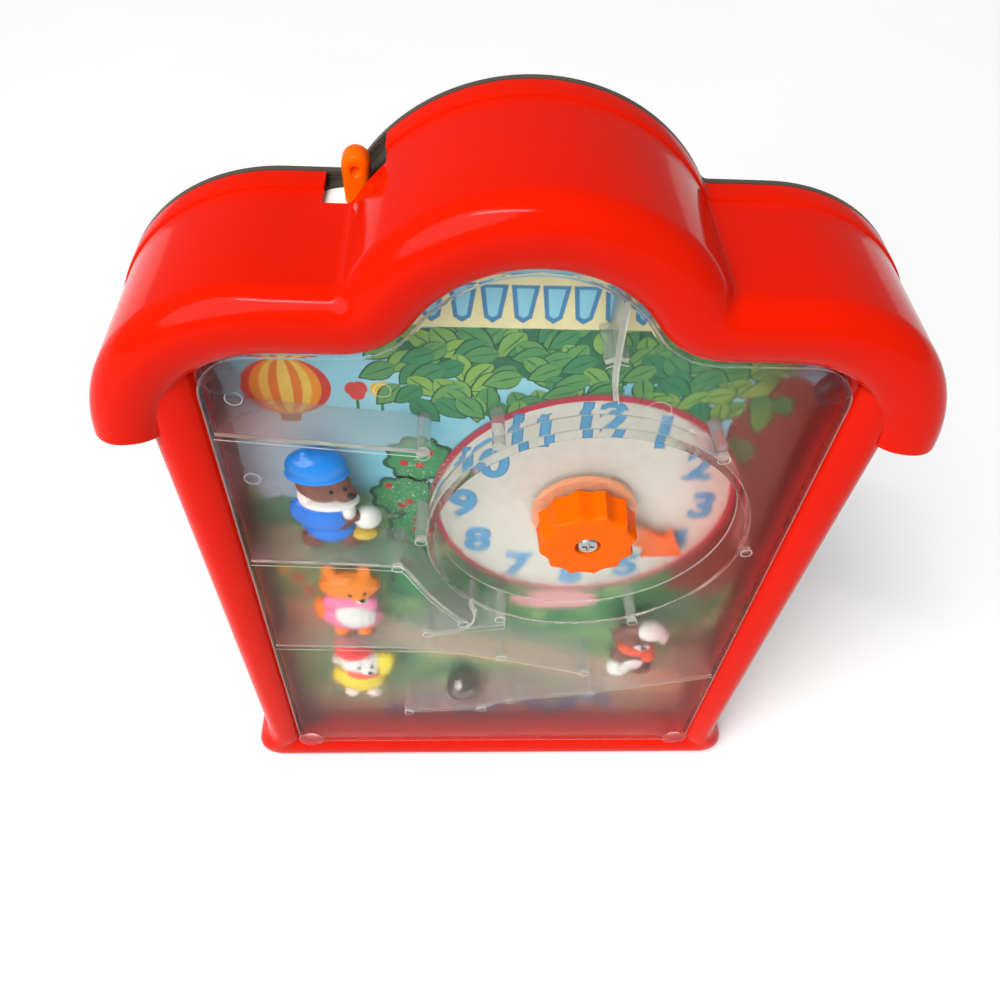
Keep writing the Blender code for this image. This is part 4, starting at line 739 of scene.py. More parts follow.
def sharpen_ends(mesh):
    """Marks the edges that have one face as sharp, so that a wall's ends don't shade into its sides."""
    sides = np.empty(len(mesh.loops), np.int32)
    mesh.loops.foreach_get("edge_index", sides)
    sharp = np.empty(len(mesh.edges), bool)
    mesh.edges.foreach_get("use_edge_sharp", sharp)
    single = np.bincount(sides, minlength=len(sharp)) == 1
    mesh.edges.foreach_set("use_edge_sharp", sharp | single)


def thicken(piece, wall):
    """Gives an open surface its wall on the inside."""
    modifier = piece.modifiers.new("Wall", "SOLIDIFY")
    modifier.thickness = wall
    modifier.offset = -1


def skin(name, points, wall, removed=None):
    """An open moulded skin with its wall."""
    piece = build(name, points, grid_faces(*points.shape[:2], removed=removed), "shell", smooth=32)
    middle = Vector((0, (CASE_BACK + FRONT) / 2, PEAK_HEIGHT * 0.62))
    if sum(p.area * p.normal.dot(p.center - middle) for p in piece.data.polygons) < 0:
        piece.data.flip_normals()
    sharpen_ends(piece.data)
    thicken(piece, wall)
    return piece


def roof_skin(case):
    """The roof: rim, outer wall and bead, with the notch left out of its faces, and its eave ends."""
    rows = rim_profile() + [(share * ROOF_BEAD_WIDTH, depth) for share, depth in
                            bead_profile(case.roof_rise, ROOF_EDGE_DEPTH, case.steps)]
    points = stack((roof_ring(inset), depth) for inset, depth in rows)
    across = roof_ring(0)[:, 0]
    notch = (across > -NOTCH_LEFT - GAP / 10) & (across < -NOTCH_RIGHT + GAP / 10)
    deep = np.array([depth for _, depth in rows]) > CASE_BACK - FRONT - NOTCH_DEPTH - GAP / 10
    removed = (deep[:-1] & deep[1:])[:, None] & (notch[:-1] & notch[1:])[None, :]
    piece = skin("case_roof", points, case.wall, removed)
    ends = []
    for column in (0, -1):
        edge = points[:, column]
        back_corner = edge[-1] * (1, 0, 1) + (0, edge[0][1], 0)
        ends.append((np.vstack([edge, back_corner]), [list(range(len(edge) + 1))]))
    build("case_eave_ends", *joined(ends), "shell")
    return piece


def body_skin(case):
    """The body: rim, outer wall and a bead that ends on the window opening's edge."""
    outer = body_ring(0)
    inner = np.column_stack([np.clip(outer[:, 0], -OPENING_HALF_WIDTH, OPENING_HALF_WIDTH),
                             np.maximum(outer[:, 1], OPENING_FOOT)])
    rows = [(body_ring(inset), depth) for inset, depth in rim_profile()]
    rows += [(outer * (1 - share) + inner * share, depth) for share, depth in
             bead_profile(case.side_rise, SIDE_EDGE_DEPTH, case.steps)]
    return skin("case_body", stack(rows), case.wall)


def opening_skirt():
    """The flange under the beads and the wall that holds the clear moulding."""
    rows = []
    for inset, step in ((-0.012, 0.0002), (-0.0006, 0.0), (-0.0002, 0.0002), (0, 0.0007)):
        ring = opening_ring(inset)
        below = np.clip((EAVE_HEIGHT + 0.004 - ring[:, 1]) / 0.008, 0, 1)
        rows.append((ring, ROOF_EDGE_DEPTH + 0.0002 + 0.001 * below + step))
    rows.append((opening_ring(0), MAZE_END))
    piece = grid_piece("case_opening", stack(rows), "shell", smooth=32, closed_columns=True)
    thicken(piece, SKIRT_WALL)


def moulding_rows():
    """Outlines and depths once round the clear moulding: front, rim wall, back, well wall and floor."""
    edge = 0.0004
    outer, inner = GAP, GAP + MAZE_WALL
    floor_back = WELL_DEPTH + PANEL
    wide = WELL_RADIUS + WELL_WALL
    return [
        (dial_ring(WELL_RADIUS + edge), 0), (opening_ring(outer + edge), 0),
        (opening_ring(outer + edge * 0.3), edge * 0.3), (opening_ring(outer), edge),
        (opening_ring(outer), MAZE_END), (opening_ring(inner), MAZE_END),
        (opening_ring(inner), PANEL + edge), (opening_ring(inner + edge), PANEL),
        (dial_ring(wide + edge), PANEL), (dial_ring(wide), PANEL + edge), (dial_ring(wide), MAZE_END),
        (dial_ring(WELL_RADIUS), MAZE_END), (dial_ring(WELL_RADIUS), floor_back + edge),
        (dial_ring(WELL_RADIUS - edge), floor_back), (dial_ring(WELL_RADIUS / 2), floor_back),
        (dial_ring(SHAFT_HOLE), floor_back), (dial_ring(SHAFT_HOLE), WELL_DEPTH),
        (dial_ring(WELL_RADIUS / 2), WELL_DEPTH), (dial_ring(WELL_RADIUS - edge), WELL_DEPTH),
        (dial_ring(WELL_RADIUS), WELL_DEPTH - edge), (dial_ring(WELL_RADIUS), edge),
        (dial_ring(WELL_RADIUS + edge * 0.3), edge * 0.3),
    ]


def maze_point(share):
    """A point of the maze from its shares of the opening's half width and height."""
    return share[0] * OPENING_HALF_WIDTH, OPENING_FOOT + share[1] * OPENING_HEIGHT


def dial_point(share):
    """A point near the dial from its shares of the well's radius."""
    return DIAL_X + share[0] * WELL_RADIUS, DIAL_Z + share[1] * WELL_RADIUS


def shifted(path, reaches):
    """Copies of a path moved sideways, at right angles to its own direction."""
    path = np.asarray(path, float)
    along = np.gradient(path, axis=0)
    along /= np.linalg.norm(along, axis=1)[:, None]
    across = np.column_stack([-along[:, 1], along[:, 0]])
    return [path + across * reach for reach in reaches]


def wall_piece(path, front, back):
    """Points and faces of a standing wall: its path shifted to both sides, thinner towards the back."""
    near, far = MAZE_WALL / 2, MAZE_WALL * 0.38
    return beam(zip(shifted(path, (near, -near, -far, far)), (front, front, back, back)))


def softened(path, rounds=2):
    """A path with its corners cut: each corner gives way to points at a quarter and three quarters."""
    path = np.asarray(path, float)
    for _ in range(rounds):
        before, after = path[:-1], path[1:]
        inner = np.stack([before * 0.75 + after * 0.25, before * 0.25 + after * 0.75], axis=1)
        path = np.vstack([path[:1], inner.reshape(-1, 2), path[-1:]])
    return path


def maze_paths():
    """The line of every wall behind the panel; the ball's own ramp keeps its corners."""
    paths = [softened([maze_point(share) for share in shares], 0 if name == "ramp_low" else 1)
             for name, shares in RAMPS.items()]
    out = WELL_RADIUS + WELL_WALL + AIR * 2
    start, end = (arc((DIAL_X, DIAL_Z), out, angle, angle, 1)[0] for angle in HOOK_ANGLES)
    down = np.vstack([[start], [dial_point(share) for share in HOOK_DOWN]])
    return paths + [softened(down), np.array([down[-1], dial_point(HOOK_BACK), end])]


def post_places():
    """Centres of the round posts on the walls and round the dial's well."""
    out = WELL_RADIUS + WELL_WALL + POST_RADIUS + AIR * 2
    around = [tuple(arc((DIAL_X, DIAL_Z), out, angle, angle, 1)[0]) for angle in WELL_POST_ANGLES]
    return [maze_point(share) for share in POST_SHARES] + [dial_point(HOOK_DOWN[-1])] + around


def maze_parts(front, back, soft):
    """Walls and posts between two depths, with the posts' far ends rounded by a soft edge."""
    parts = [wall_piece(path, front + GAP / 60 * i, back) for i, path in enumerate(maze_paths())]
    start = front + GAP / 6
    for spot in post_places():
        parts.append(turned(spot, [(0, start), (POST_RADIUS, start), (POST_RADIUS, back - soft),
                                   (POST_RADIUS - soft, back), (0, back)], 20))
    return parts


def ear_places():
    """Centres of the moulding's four corner ears."""
    reach = OPENING_CORNER_RADIUS * (1 - math.sqrt(0.5)) + EAR_REACH
    side = OPENING_HALF_WIDTH - 2 * EAR_REACH
    low = [(x * side, OPENING_FOOT + EAR_REACH) for x in (-1, 1)]
    return low + [(x * (OPENING_HALF_WIDTH - reach), OPENING_TOP - reach) for x in (-1, 1)]


def fans(outlines, y):
    """Points and faces of flat outlines at a depth, each filled by a fan from its middle."""
    outlines = np.asarray(outlines, float)
    count, corners = outlines.shape[:2]
    middles = outlines.mean(axis=1, keepdims=True)
    flat = np.concatenate([middles, outlines], axis=1).reshape(-1, 2)
    points = np.column_stack([flat[:, 0], np.full(len(flat), y), flat[:, 1]])
    first = np.arange(count)[:, None] * (corners + 1)
    ring = np.arange(corners)[None, :]
    faces = np.stack([np.broadcast_to(first, (count, corners)), first + 1 + ring,
                      first + 1 + (ring + 1) % corners], axis=-1).reshape(-1, 3)
    return points, faces.tolist()


def print_y(layer):
    """Depth of a printed layer in front of the card."""
    return CARD_LOW[1] - bpy.context.scene.clock_picture.layer * layer


def painted(name, points, faces, colours):
    """A printed mesh that faces the viewer, with its colours kept in an attribute."""
    mesh = bpy.data.meshes.new(name)
    mesh.from_pydata(points.reshape(-1, 3).tolist(), [], faces)
    face_viewer(mesh)
    ink = mesh.color_attributes.new("paint", "FLOAT_COLOR", "POINT")
    values = np.ones((len(mesh.vertices), 4), np.float32)
    values[:, :3] = colours
    ink.data.foreach_set("color", values.ravel())
    return place(name, mesh, "print", "case", smooth=0)


def flat_shapes(name, outlines, colours, layer):
    """Printed shapes on the card, each in its own colour."""
    points, faces = fans(outlines, print_y(layer))
    colours = np.broadcast_to(np.asarray(colours, float), (len(outlines), 3))
    painted(name, points, faces, np.repeat(colours, len(points) // len(outlines), axis=0))


def ringed(name, centre, inner, outer, colour, layer):
    """A printed ring between two circles."""
    painted(name, *hoop(centre, inner, outer, print_y(layer) - FRONT, 96), colour)


def blob(centre, width, height, lobes=0, depth=0.0, turn=0.0, corners=48):
    """A closed outline: an ellipse whose radius waves with a number of lobes."""
    angles = np.linspace(0, 2 * np.pi, corners, endpoint=False)
    wave = 1 + depth * np.abs(np.sin(angles * lobes / 2 + turn)) - depth / 2
    return np.column_stack([centre[0] + width * wave * np.cos(angles),
                            centre[1] + height * wave * np.sin(angles)])


def leaf(root, length, width, angle, corners=24):
    """A leaf's outline: its half width is a sine of the share along it, pointed at the tip."""
    share = np.linspace(0, 1, corners // 2 + 1)
    half = width / 2 * np.sin(np.pi * share ** 0.8) ** 0.9
    upper = np.column_stack([share * length, half])
    lower = np.column_stack([share * length, -half])[1:-1][::-1]
    shape = np.vstack([upper, lower])
    c, s = math.cos(angle), math.sin(angle)
    return shape @ np.array([[c, s], [-s, c]]) + root


def text_shape(text, size, centre, layer, grow):
    """Points and faces of a digit as a flat shape, grown outwards by a margin."""
    curve = bpy.data.curves.new("digit", "FONT")
    curve.body = text
    curve.size = size
    curve.align_x = curve.align_y = "CENTER"
    curve.offset = grow
    curve.space_character = 0.9
    guide = linked("digit", curve)
    graph = bpy.context.evaluated_depsgraph_get()
    mesh = bpy.data.meshes.new_from_object(guide.evaluated_get(graph))
    flat = np.empty(len(mesh.vertices) * 3)
    mesh.vertices.foreach_get("co", flat)
    x, z, _ = flat.reshape(-1, 3).T
    faces = [list(p.vertices) for p in mesh.polygons]
    bpy.data.objects.remove(guide)
    return np.column_stack([x + centre[0], np.full(len(x), print_y(layer)), z + centre[1]]), faces


class CLOCK_OT_shell(Operator):
    """Fine red shell: roof and body skins, flange and skirt"""
    bl_idname = "clock.shell"
    bl_label = "Red shell"

    def execute(self, context):
        case = context.scene.clock_case
        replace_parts(roof_skin(case), "front_shell")
        body_skin(case)
        opening_skirt()
        return {"FINISHED"}


class CLOCK_OT_window(Operator):
    """Clear moulding with dial well, maze walls, posts and ears"""
    bl_idname = "clock.window"
    bl_label = "Clear moulding"

    def execute(self, context):
        moulding = grid_piece("window_moulding", stack(moulding_rows()), "clear", smooth=22,
                              closed_rows=True, closed_columns=True)
        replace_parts(moulding, "window_maze")
        edge = PANEL + AIR + HIGHLIGHT_BAND
        walls = maze_parts(edge + AIR, MAZE_END - AIR, POST_SOFT)
        build("window_walls", *joined(walls), "thin", smooth=25)
        # Painted highlights: a pale band at the front of every wall and post, and the well's pale rims
        edges = maze_parts(PANEL + AIR, edge, HIGHLIGHT_BAND / 4) + self.rims()
        build("window_edges", *joined(edges), "frost", smooth=25)
        profile = [(EAR_RADIUS * share, -height) for share, height in EAR_PROFILE]
        ears = [turned(spot, profile, 40) for spot in ear_places()]
        build("window_ears", *joined(ears), "clear", smooth=35)
        rim = stack((opening_ring(inset), depth) for inset, depth in
                    ((GAP, -AIR), (GAP * 2, -AIR * 2), (0.001, -AIR)))
        build("window_rim", rim, grid_faces(*rim.shape[:2], closed_columns=True), "thin", smooth=0,
              weld=False)
        self.seam_highlights()
        self.wear()
        return {"FINISHED"}

    def seam_highlights(self):
        """Painted highlights: thin pale lines on the panel's front, where the walls and posts meet it."""
        parts = []
        for i, path in enumerate(maze_paths()):
            depth = -AIR - GAP / 60 * i
            rows = shifted(path, (-MAZE_WALL / 2, -MAZE_WALL / 2 + SEAM))
            parts.append((stack((row, depth) for row in rows), grid_faces(2, len(path))))
        parts += [hoop(spot, POST_RADIUS - SEAM * 0.7, POST_RADIUS, -AIR * 0.8, 24)
                  for spot in post_places()]
        build("window_seams", *joined(parts), "frost", smooth=0, weld=False)

    def wear(self):
        """Pale specks of wear left of the dial, and the faint rings that the mould left on the panel."""
        chance = np.random.default_rng(3)
        spots = chance.normal((-0.036, 0.222), (0.0075, 0.022), (900, 2))
        away = np.linalg.norm(spots - (DIAL_X, DIAL_Z), axis=1)
        spots = spots[(away > WELL_RADIUS + 0.0015) & (away < WELL_RADIUS + 0.022)]
        specks = [blob(spot, size, size, corners=6) for spot, size in
                  zip(spots, chance.uniform(0.00006, 0.00018, len(spots)))]
        rings = [hoop(spot, radius - 0.00008, radius + 0.00004, -AIR / 2, 48)
                 for spot, radius in MOULD_RINGS]
        build("window_wear", *joined([fans(specks, FRONT - AIR / 2)] + rings), "white",
              slot="window_clear", smooth=0, weld=False)

    def rims(self):
        """Painted highlights: pale rounded edges where the dial's well meets the panel and the well's floor.
        """
        loop = np.radians(np.arange(0, 360, 45))
        circle = np.column_stack([np.cos(loop), np.sin(loop)]) * HIGHLIGHT_BAND / 2
        places = ((WELL_RADIUS + WELL_WALL + 0.0004, PANEL + AIR + HIGHLIGHT_BAND / 2),
                  (WELL_RADIUS - 0.0005, WELL_DEPTH - AIR - HIGHLIGHT_BAND / 2))
        return [turned((DIAL_X, DIAL_Z), circle + spot, 120, True) for spot in places]


class CLOCK_OT_dial(Operator):
    """Printed dial: red ring, cream disc and plain digits"""
    bl_idname = "clock.dial"
    bl_label = "Dial"

    def execute(self, context):
        picture = context.scene.clock_picture
        centre = (DIAL_X, DIAL_Z)
        ringed("print_dial_disc", centre, SHAFT_HOLE, picture.disc_radius, (0.75, 0.74, 0.66), 6.8)
        ringed("print_dial_ring", centre, picture.disc_radius, picture.ring_radius, (0.62, 0.04, 0.08), 6.8)
        for name, colour, layer, grow in (("print_digits_edge", (0.05, 0.26, 0.52), 7.2, 0.0009),
                                          ("print_digits", (0.11, 0.40, 0.70), 7.6, 0.0004)):
            spots = arc(centre, picture.digit_radius, 60, -270, 11)
            digits = [text_shape(str(hour + 1), picture.digit_size, spot, layer, grow)
                      for hour, spot in enumerate(spots)]
            painted(name, *joined(digits), colour)
        return {"FINISHED"}


class CLOCK_OT_picture(Operator):
    """Printed picture: leaves, bare banner with bunting, balloon, bushes, path and flowers"""
    bl_idname = "clock.picture"
    bl_label = "Picture"

    def execute(self, context):
        dress("meadow", "backdrop_card")
        self.ground()
        self.leaves(context.scene.clock_picture.leaf_length)
        self.banner()
        self.balloon()
        self.bushes()
        return {"FINISHED"}

    def ground(self):
        """Winding path, far trees and a brown trunk at the right."""
        path = np.array([(-0.095, 0.128), (-0.060, 0.118), (-0.030, 0.100), (0.010, 0.095), (0.050, 0.075),
                         (0.095, 0.060), (0.095, 0.038), (0.050, 0.050), (0.005, 0.072), (-0.035, 0.080),
                         (-0.062, 0.096), (-0.095, 0.106)])
        outline = softened(np.vstack([path, path[:1]]), 3)[:-1]
        flat_shapes("print_path", [outline], (0.58, 0.42, 0.25), 1)
        trunk = [softened([(0.068, 0.13), (0.074, 0.20), (0.070, 0.255), (0.0995, 0.262), (0.0995, 0.20),
                           (0.0995, 0.13), (0.068, 0.13)], 2)[:-1]]
        flat_shapes("print_trunk", trunk, (0.22, 0.075, 0.055), 1)
        far = [blob((x, z), w, h, 9, 0.18, x * 90) for x, z, w, h in
               ((0.086, 0.268, 0.011, 0.009), (0.070, 0.120, 0.024, 0.014), (-0.080, 0.185, 0.020, 0.010),
                (0.088, 0.095, 0.010, 0.012), (-0.010, 0.118, 0.022, 0.010), (0.076, 0.222, 0.008, 0.007),
                (0.084, 0.185, 0.009, 0.006))]
        flat_shapes("print_far_trees", far, [(0.24, 0.30, 0.42), (0.07, 0.20, 0.09), (0.10, 0.32, 0.16),
                                             (0.16, 0.16, 0.08), (0.12, 0.32, 0.13), (0.12, 0.22, 0.10),
                                             (0.20, 0.14, 0.08)], 2)

    def leaves(self, length):
        """A canopy of leaves over the dial: dark edges, lighter fills and pale veins."""
        under = [blob((0.022, 0.268), 0.064, 0.0135, 13, 0.16)]
        flat_shapes("print_leaf_shade", under, (0.03, 0.17, 0.09), 1.6)
        chance = np.random.default_rng(11)
        dark, light = np.array((0.035, 0.24, 0.11)), np.array((0.25, 0.45, 0.10))
        for row, z in enumerate(np.linspace(0.280, 0.2465, 8)):
            across = np.arange(-0.041 + (row % 2) * 0.0036, 0.086, 0.0074)
            roots = np.column_stack([across, np.full(len(across), z)])
            roots += chance.uniform(-0.0012, 0.0012, roots.shape)
            sizes = length * chance.uniform(0.9, 1.1, len(roots))
            angles = chance.choice((-0.75, -2.35, -1.3, -2.75), len(roots))
            angles = angles + chance.uniform(-0.25, 0.25, len(roots))
            greens = dark + (light - dark) * chance.uniform(0, 1, (len(roots), 1)) ** 1.2
            for turn in range(3):
                own = slice(turn, None, 3)
                leaves = list(zip(roots[own], sizes[own], angles[own]))
                layer = 2 + (row * 3 + turn) * 0.18
                for part, grow, width, colours, step in (
                        ("leaf_edges", 1.06, 0.66, (0.02, 0.09, 0.05), 0),
                        ("leaves", 1, 0.58, greens[own], 0.06),
                        ("leaf_veins", 0.86, 0.045, (0.03, 0.15, 0.07), 0.12)):
                    outlines = [leaf(spot, size * grow, size * width, angle) for spot, size, angle in leaves]
                    flat_shapes(f"print_{part}_{row + 1}_{turn + 1}", outlines, colours, layer + step)

    def banner(self):
        """A bare cream banner with a row of blue pennants, and a pink plaque under the dial."""
        top, low = 0.2955, 0.2765
        edge = [(-0.046, low), (0.046, low), (0.046, top), (-0.046, top)]
        flat_shapes("print_banner", [edge], (0.86, 0.80, 0.44), 6.8)
        for name, wide, narrow, down, corner, tip, colour, layer in (
                ("print_pennant_edges", 0.0042, 0.0026, 0.003, 0.004, 0.002, (0.06, 0.26, 0.50), 7.2),
                ("print_pennants", 0.0026, 0.0014, 0.0042, 0.005, 0.004, (0.28, 0.66, 0.82), 7.6)):
            pennants = [[(x - wide, top - down), (x + wide, top - down), (x + narrow, low + corner),
                         (x, low + tip), (x - narrow, low + corner)] for x in np.linspace(-0.030, 0.034, 8)]
            flat_shapes(name, pennants, colour, layer)
        plaque = [blob((0.022, 0.1255), 0.0205, 0.0075, 0, 0, corners=40)]
        flat_shapes("print_plaque", plaque, (0.85, 0.42, 0.42), 3)

    def balloon(self):
        """A striped hot-air balloon and two tulips in the sky at the left."""
        colours = ((0.60, 0.05, 0.03), (0.85, 0.30, 0.02), (0.85, 0.62, 0.10), (0.80, 0.22, 0.02),
                   (0.88, 0.66, 0.12))
        for layer, (share, colour) in enumerate(zip(np.linspace(1.0, 0.15, 5), colours)):
            stripe = blob((-0.077, 0.2505), 0.0145 * share, 0.0125, corners=40)
            flat_shapes(f"print_balloon_{layer + 1}", [stripe], colour, 1 + layer)
        basket = [[(-0.0800, 0.2345), (-0.0740, 0.2345), (-0.0732, 0.2385), (-0.0808, 0.2385)]]
        flat_shapes("print_basket", basket, (0.30, 0.14, 0.05), 2)
        stems = [[(x - 0.0005, 0.2405), (x + 0.0005, 0.2405), (x + 0.0005, 0.2475), (x - 0.0005, 0.2475)]
                 for x in (-0.0545, -0.0465)]
        flat_shapes("print_stems", stems, (0.05, 0.25, 0.08), 2)
        cups = [blob((x, 0.2495), 0.0034, 0.0040, 3, 0.25, 0.6) for x in (-0.0545, -0.0465)]
        flat_shapes("print_tulips", cups, [(0.65, 0.06, 0.05), (0.80, 0.50, 0.05)], 3)

    def bushes(self):
        """Bushes with berries left of the dial, small flowers and a row of blue bells at the bottom."""
        spots = [(-0.035, 0.216, 0.012), (-0.041, 0.196, 0.012), (-0.036, 0.176, 0.012),
                 (-0.045, 0.158, 0.013), (-0.036, 0.140, 0.013), (-0.020, 0.132, 0.012)]
        for name, wide, tall, colour, layer in (("print_bush_edges", 1, 0.95, (0.02, 0.11, 0.06), 2),
                                                ("print_bushes", 0.86, 0.80, (0.05, 0.30, 0.11), 3)):
            bushes = [blob((x, z), r * wide, r * tall, 9, 0.20, x * 200) for x, z, r in spots]
            flat_shapes(name, bushes, colour, layer)
        chance = np.random.default_rng(5)
        berries = [blob((x + dx, z + dz), 0.0016, 0.0016, corners=12) for x, z, r in spots
                   for dx, dz in chance.uniform(-0.006, 0.006, (3, 2))]
        flat_shapes("print_berries", berries, (0.55, 0.03, 0.03), 4)
        bells = [blob((x, 0.030 + 0.008 * math.sin(x * 160)), 0.0052, 0.0062, 5, 0.22, x * 300)
                 for x in np.linspace(-0.052, 0.056, 13)]
        flat_shapes("print_bells", bells, by_turns((0.05, 0.13, 0.30), (0.12, 0.30, 0.42), len(bells)), 2)
        flowers = [blob(spot, 0.0028, 0.0028, 5, 0.4)
                   for spot in chance.uniform((-0.092, 0.125), (-0.055, 0.150), (7, 2))]
        flat_shapes("print_flowers", flowers, by_turns((0.80, 0.60, 0.08), (0.70, 0.10, 0.06), 7), 2)


def by_turns(first, second, count):
    """Two colours by turns, for a number of shapes."""
    return [second if i % 2 else first for i in range(count)]


class CLOCK_OT_knob(Operator):
    """Fluted knob, and finishes of the drive behind it"""
    bl_idname = "clock.knob"
    bl_label = "Knob and drive"

    def execute(self, context):
        count, per_flute = 12, 14
        angles = np.linspace(0, 2 * np.pi, count * per_flute, endpoint=False)
        wave = np.sqrt(np.cos(angles * count / 2) ** 2 + 0.004)
        radius = (KNOB_HIGH[0] - KNOB_LOW[0]) / 2 + 0.0008
        front, back = KNOB_LOW[1] - FRONT, KNOB_HIGH[1] - FRONT
        rows = []
        for shrink, depth in ((0.0030, front + 0.00000), (0.0016, front + 0.00005), (0.0008, front + 0.0003),
                              (0.0003, front + 0.0008), (0.0, front + 0.0016), (-0.0002, front + 0.0050),
                              (-0.0006, back - 0.0003), (-0.0004, back), (0.004, back)):
            reach = radius - shrink - 0.0016 * wave
            rows.append((np.column_stack([DIAL_X + reach * np.cos(angles), DIAL_Z + reach * np.sin(angles)]),
                         depth))
        recess = [(0.0053, front), (0.0048, front + 0.0003), (0.0047, front + 0.0026),
                  (0.0019, front + 0.0026), (0.0019, front + 0.0040)]
        inner = [arc((DIAL_X, DIAL_Z), reach, 0, 360, len(angles))[:-1] for reach, _ in reversed(recess)]
        rows = [(ring, depth) for ring, (_, depth) in zip(inner, reversed(recess))] + rows
        knob = grid_piece("knob_fluted", stack(rows), "orange", "hand", 28, closed_columns=True,
                          caps=(0, -1))
        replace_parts(knob, "knob")
        dress("hand", "clock_hand")
        dress("white", "click_wheel")
        dress("steel", "knob_screw", "hand_shaft", "shaft_retainer", "click_spring", "click_spring_screw")
        return {"FINISHED"}


class CLOCK_OT_lever(Operator):
    """Rounded lever with its dimple, the white shutter, and finishes of the pin and spring"""
    bl_idname = "clock.lever"
    bl_label = "Lever"

    def execute(self, context):
        low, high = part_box("lever")
        x, foot = high[0] - LEVER_HUB_RADIUS, low[2] + LEVER_HUB_RADIUS
        near, far = low[1] - FRONT, high[1] - FRONT
        hub = turned((x, foot), [(LEVER_BORE, near), (LEVER_HUB_RADIUS, near), (LEVER_HUB_RADIUS, far),
                                 (LEVER_BORE, far)], 48, True)
        arm = np.array([(low[0], foot - LEVER_ARM_HALF), (x, foot - LEVER_ARM_HALF),
                        (x, foot + LEVER_ARM_HALF), (low[0], foot + LEVER_ARM_HALF)])
        arm_faces = grid_faces(2, 4, closed_columns=True) + [[0, 1, 2, 3], [4, 5, 6, 7]]
        parts = [self.blade(x, foot, high[2], near, far), hub,
                 (stack([(arm, near + GAP), (arm, far - GAP)]), arm_faces)]
        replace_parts(build("lever_rounded", *joined(parts), "orange", "lever"), "lever")
        self.shutter(x, foot)
        self.coil()
        dress("steel", "lever_pin")
        return {"FINISHED"}

    def blade(self, x, foot, top, near, far):
        """Points and faces of the blade: a stadium, narrower low down, with round edges and a dimple."""
        def ring(inset):
            half = LEVER_HALF - inset
            head = arc((x, top - LEVER_HALF), half, 0, 180, 24)
            side = straight(head[-1], (x - half * 0.86, foot + 0.030), 6)
            low = arc((x, foot), half * 0.86, 180, 360, 16)
            other = side[::-1] * (-1, 1) + (2 * x, 0)
            return np.vstack([head, side, low, other])

        dimple = np.array((x, top - 1.25 * LEVER_HALF))
        away = ring(LEVER_DIMPLE) - dimple
        away /= np.linalg.norm(away, axis=1)[:, None]
        rows = [(dimple + away * reach, near + sink) for reach, sink in
                ((0.0001, 0.0011), (0.0008, 0.00095), (0.0013, 0.0006), (0.0016, 0.0002), (0.0018, 0.00003))]
        rows += [(ring(inset), near + sink) for inset, sink in
                 ((LEVER_DIMPLE, 0.0), (0.0011, 0.0002), (0.0006, 0.0006), (0.0002, 0.0012), (0.0, 0.0022))]
        rows += [(ring(inset), far - sink) for inset, sink in
                 ((0.0, 0.0016), (0.0002, 0.0008), (0.0007, 0.0002), (0.0014, 0.0))]
        points = stack(rows)
        height, width = points.shape[:2]
        faces = grid_faces(height, width, closed_columns=True)
        faces += [list(range(width)), [(height - 1) * width + i for i in range(width)]]
        return points, faces

    def coil(self):
        """The return spring, a round wire along a helix, pressed between the chassis and the lever's arm."""
        low, high = (np.array(corner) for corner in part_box("lever_spring"))
        middle = (low + high) / 2
        turns = np.linspace(0, 2 * np.pi * SPRING_TURNS, SPRING_TURNS * 28 + 1)[:, None]
        outward = np.hstack([np.cos(turns), np.sin(turns), 0 * turns])
        reach = (high[0] - low[0]) / 2 - SPRING_WIRE
        rise = low[2] + SPRING_WIRE + (high[2] - low[2] - 2 * SPRING_WIRE) * turns / turns[-1]
        line = outward * reach + np.hstack([0 * turns + middle[0], 0 * turns + middle[1], rise])
        along = np.gradient(line, axis=0)
        across = np.cross(along / np.linalg.norm(along, axis=1)[:, None], outward)
        round_wire = np.linspace(0, 2 * np.pi, 10, endpoint=False)
        points = line[:, None] + SPRING_WIRE * (np.cos(round_wire)[None, :, None] * outward[:, None]
                                                + np.sin(round_wire)[None, :, None] * across[:, None])
        coil = grid_piece("spring_coil", points, "steel", None, 50, closed_columns=True, caps=(0, -1))
        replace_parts(coil, "lever_spring")
        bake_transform(coil)

    def shutter(self, x, foot):
        """The white band round the lever's pivot that fills the notch."""
        low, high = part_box("lever_shutter")
        radius = high[2] - foot
        reach = math.degrees(math.asin((high[0] - low[0]) / 2 / radius))
        over, under = (arc((x, foot), radius + grow, 90 - reach, 90 + reach, 32)
                       for grow in (SHUTTER_RISE, -SHUTTER_WALL))
        near = low[1] - FRONT + GAP
        band = beam([(over, near), (over, SHUTTER_END), (under, SHUTTER_END), (under, near)])
        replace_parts(build("shutter_band", *band, "white", "lever"), "lever_shutter")


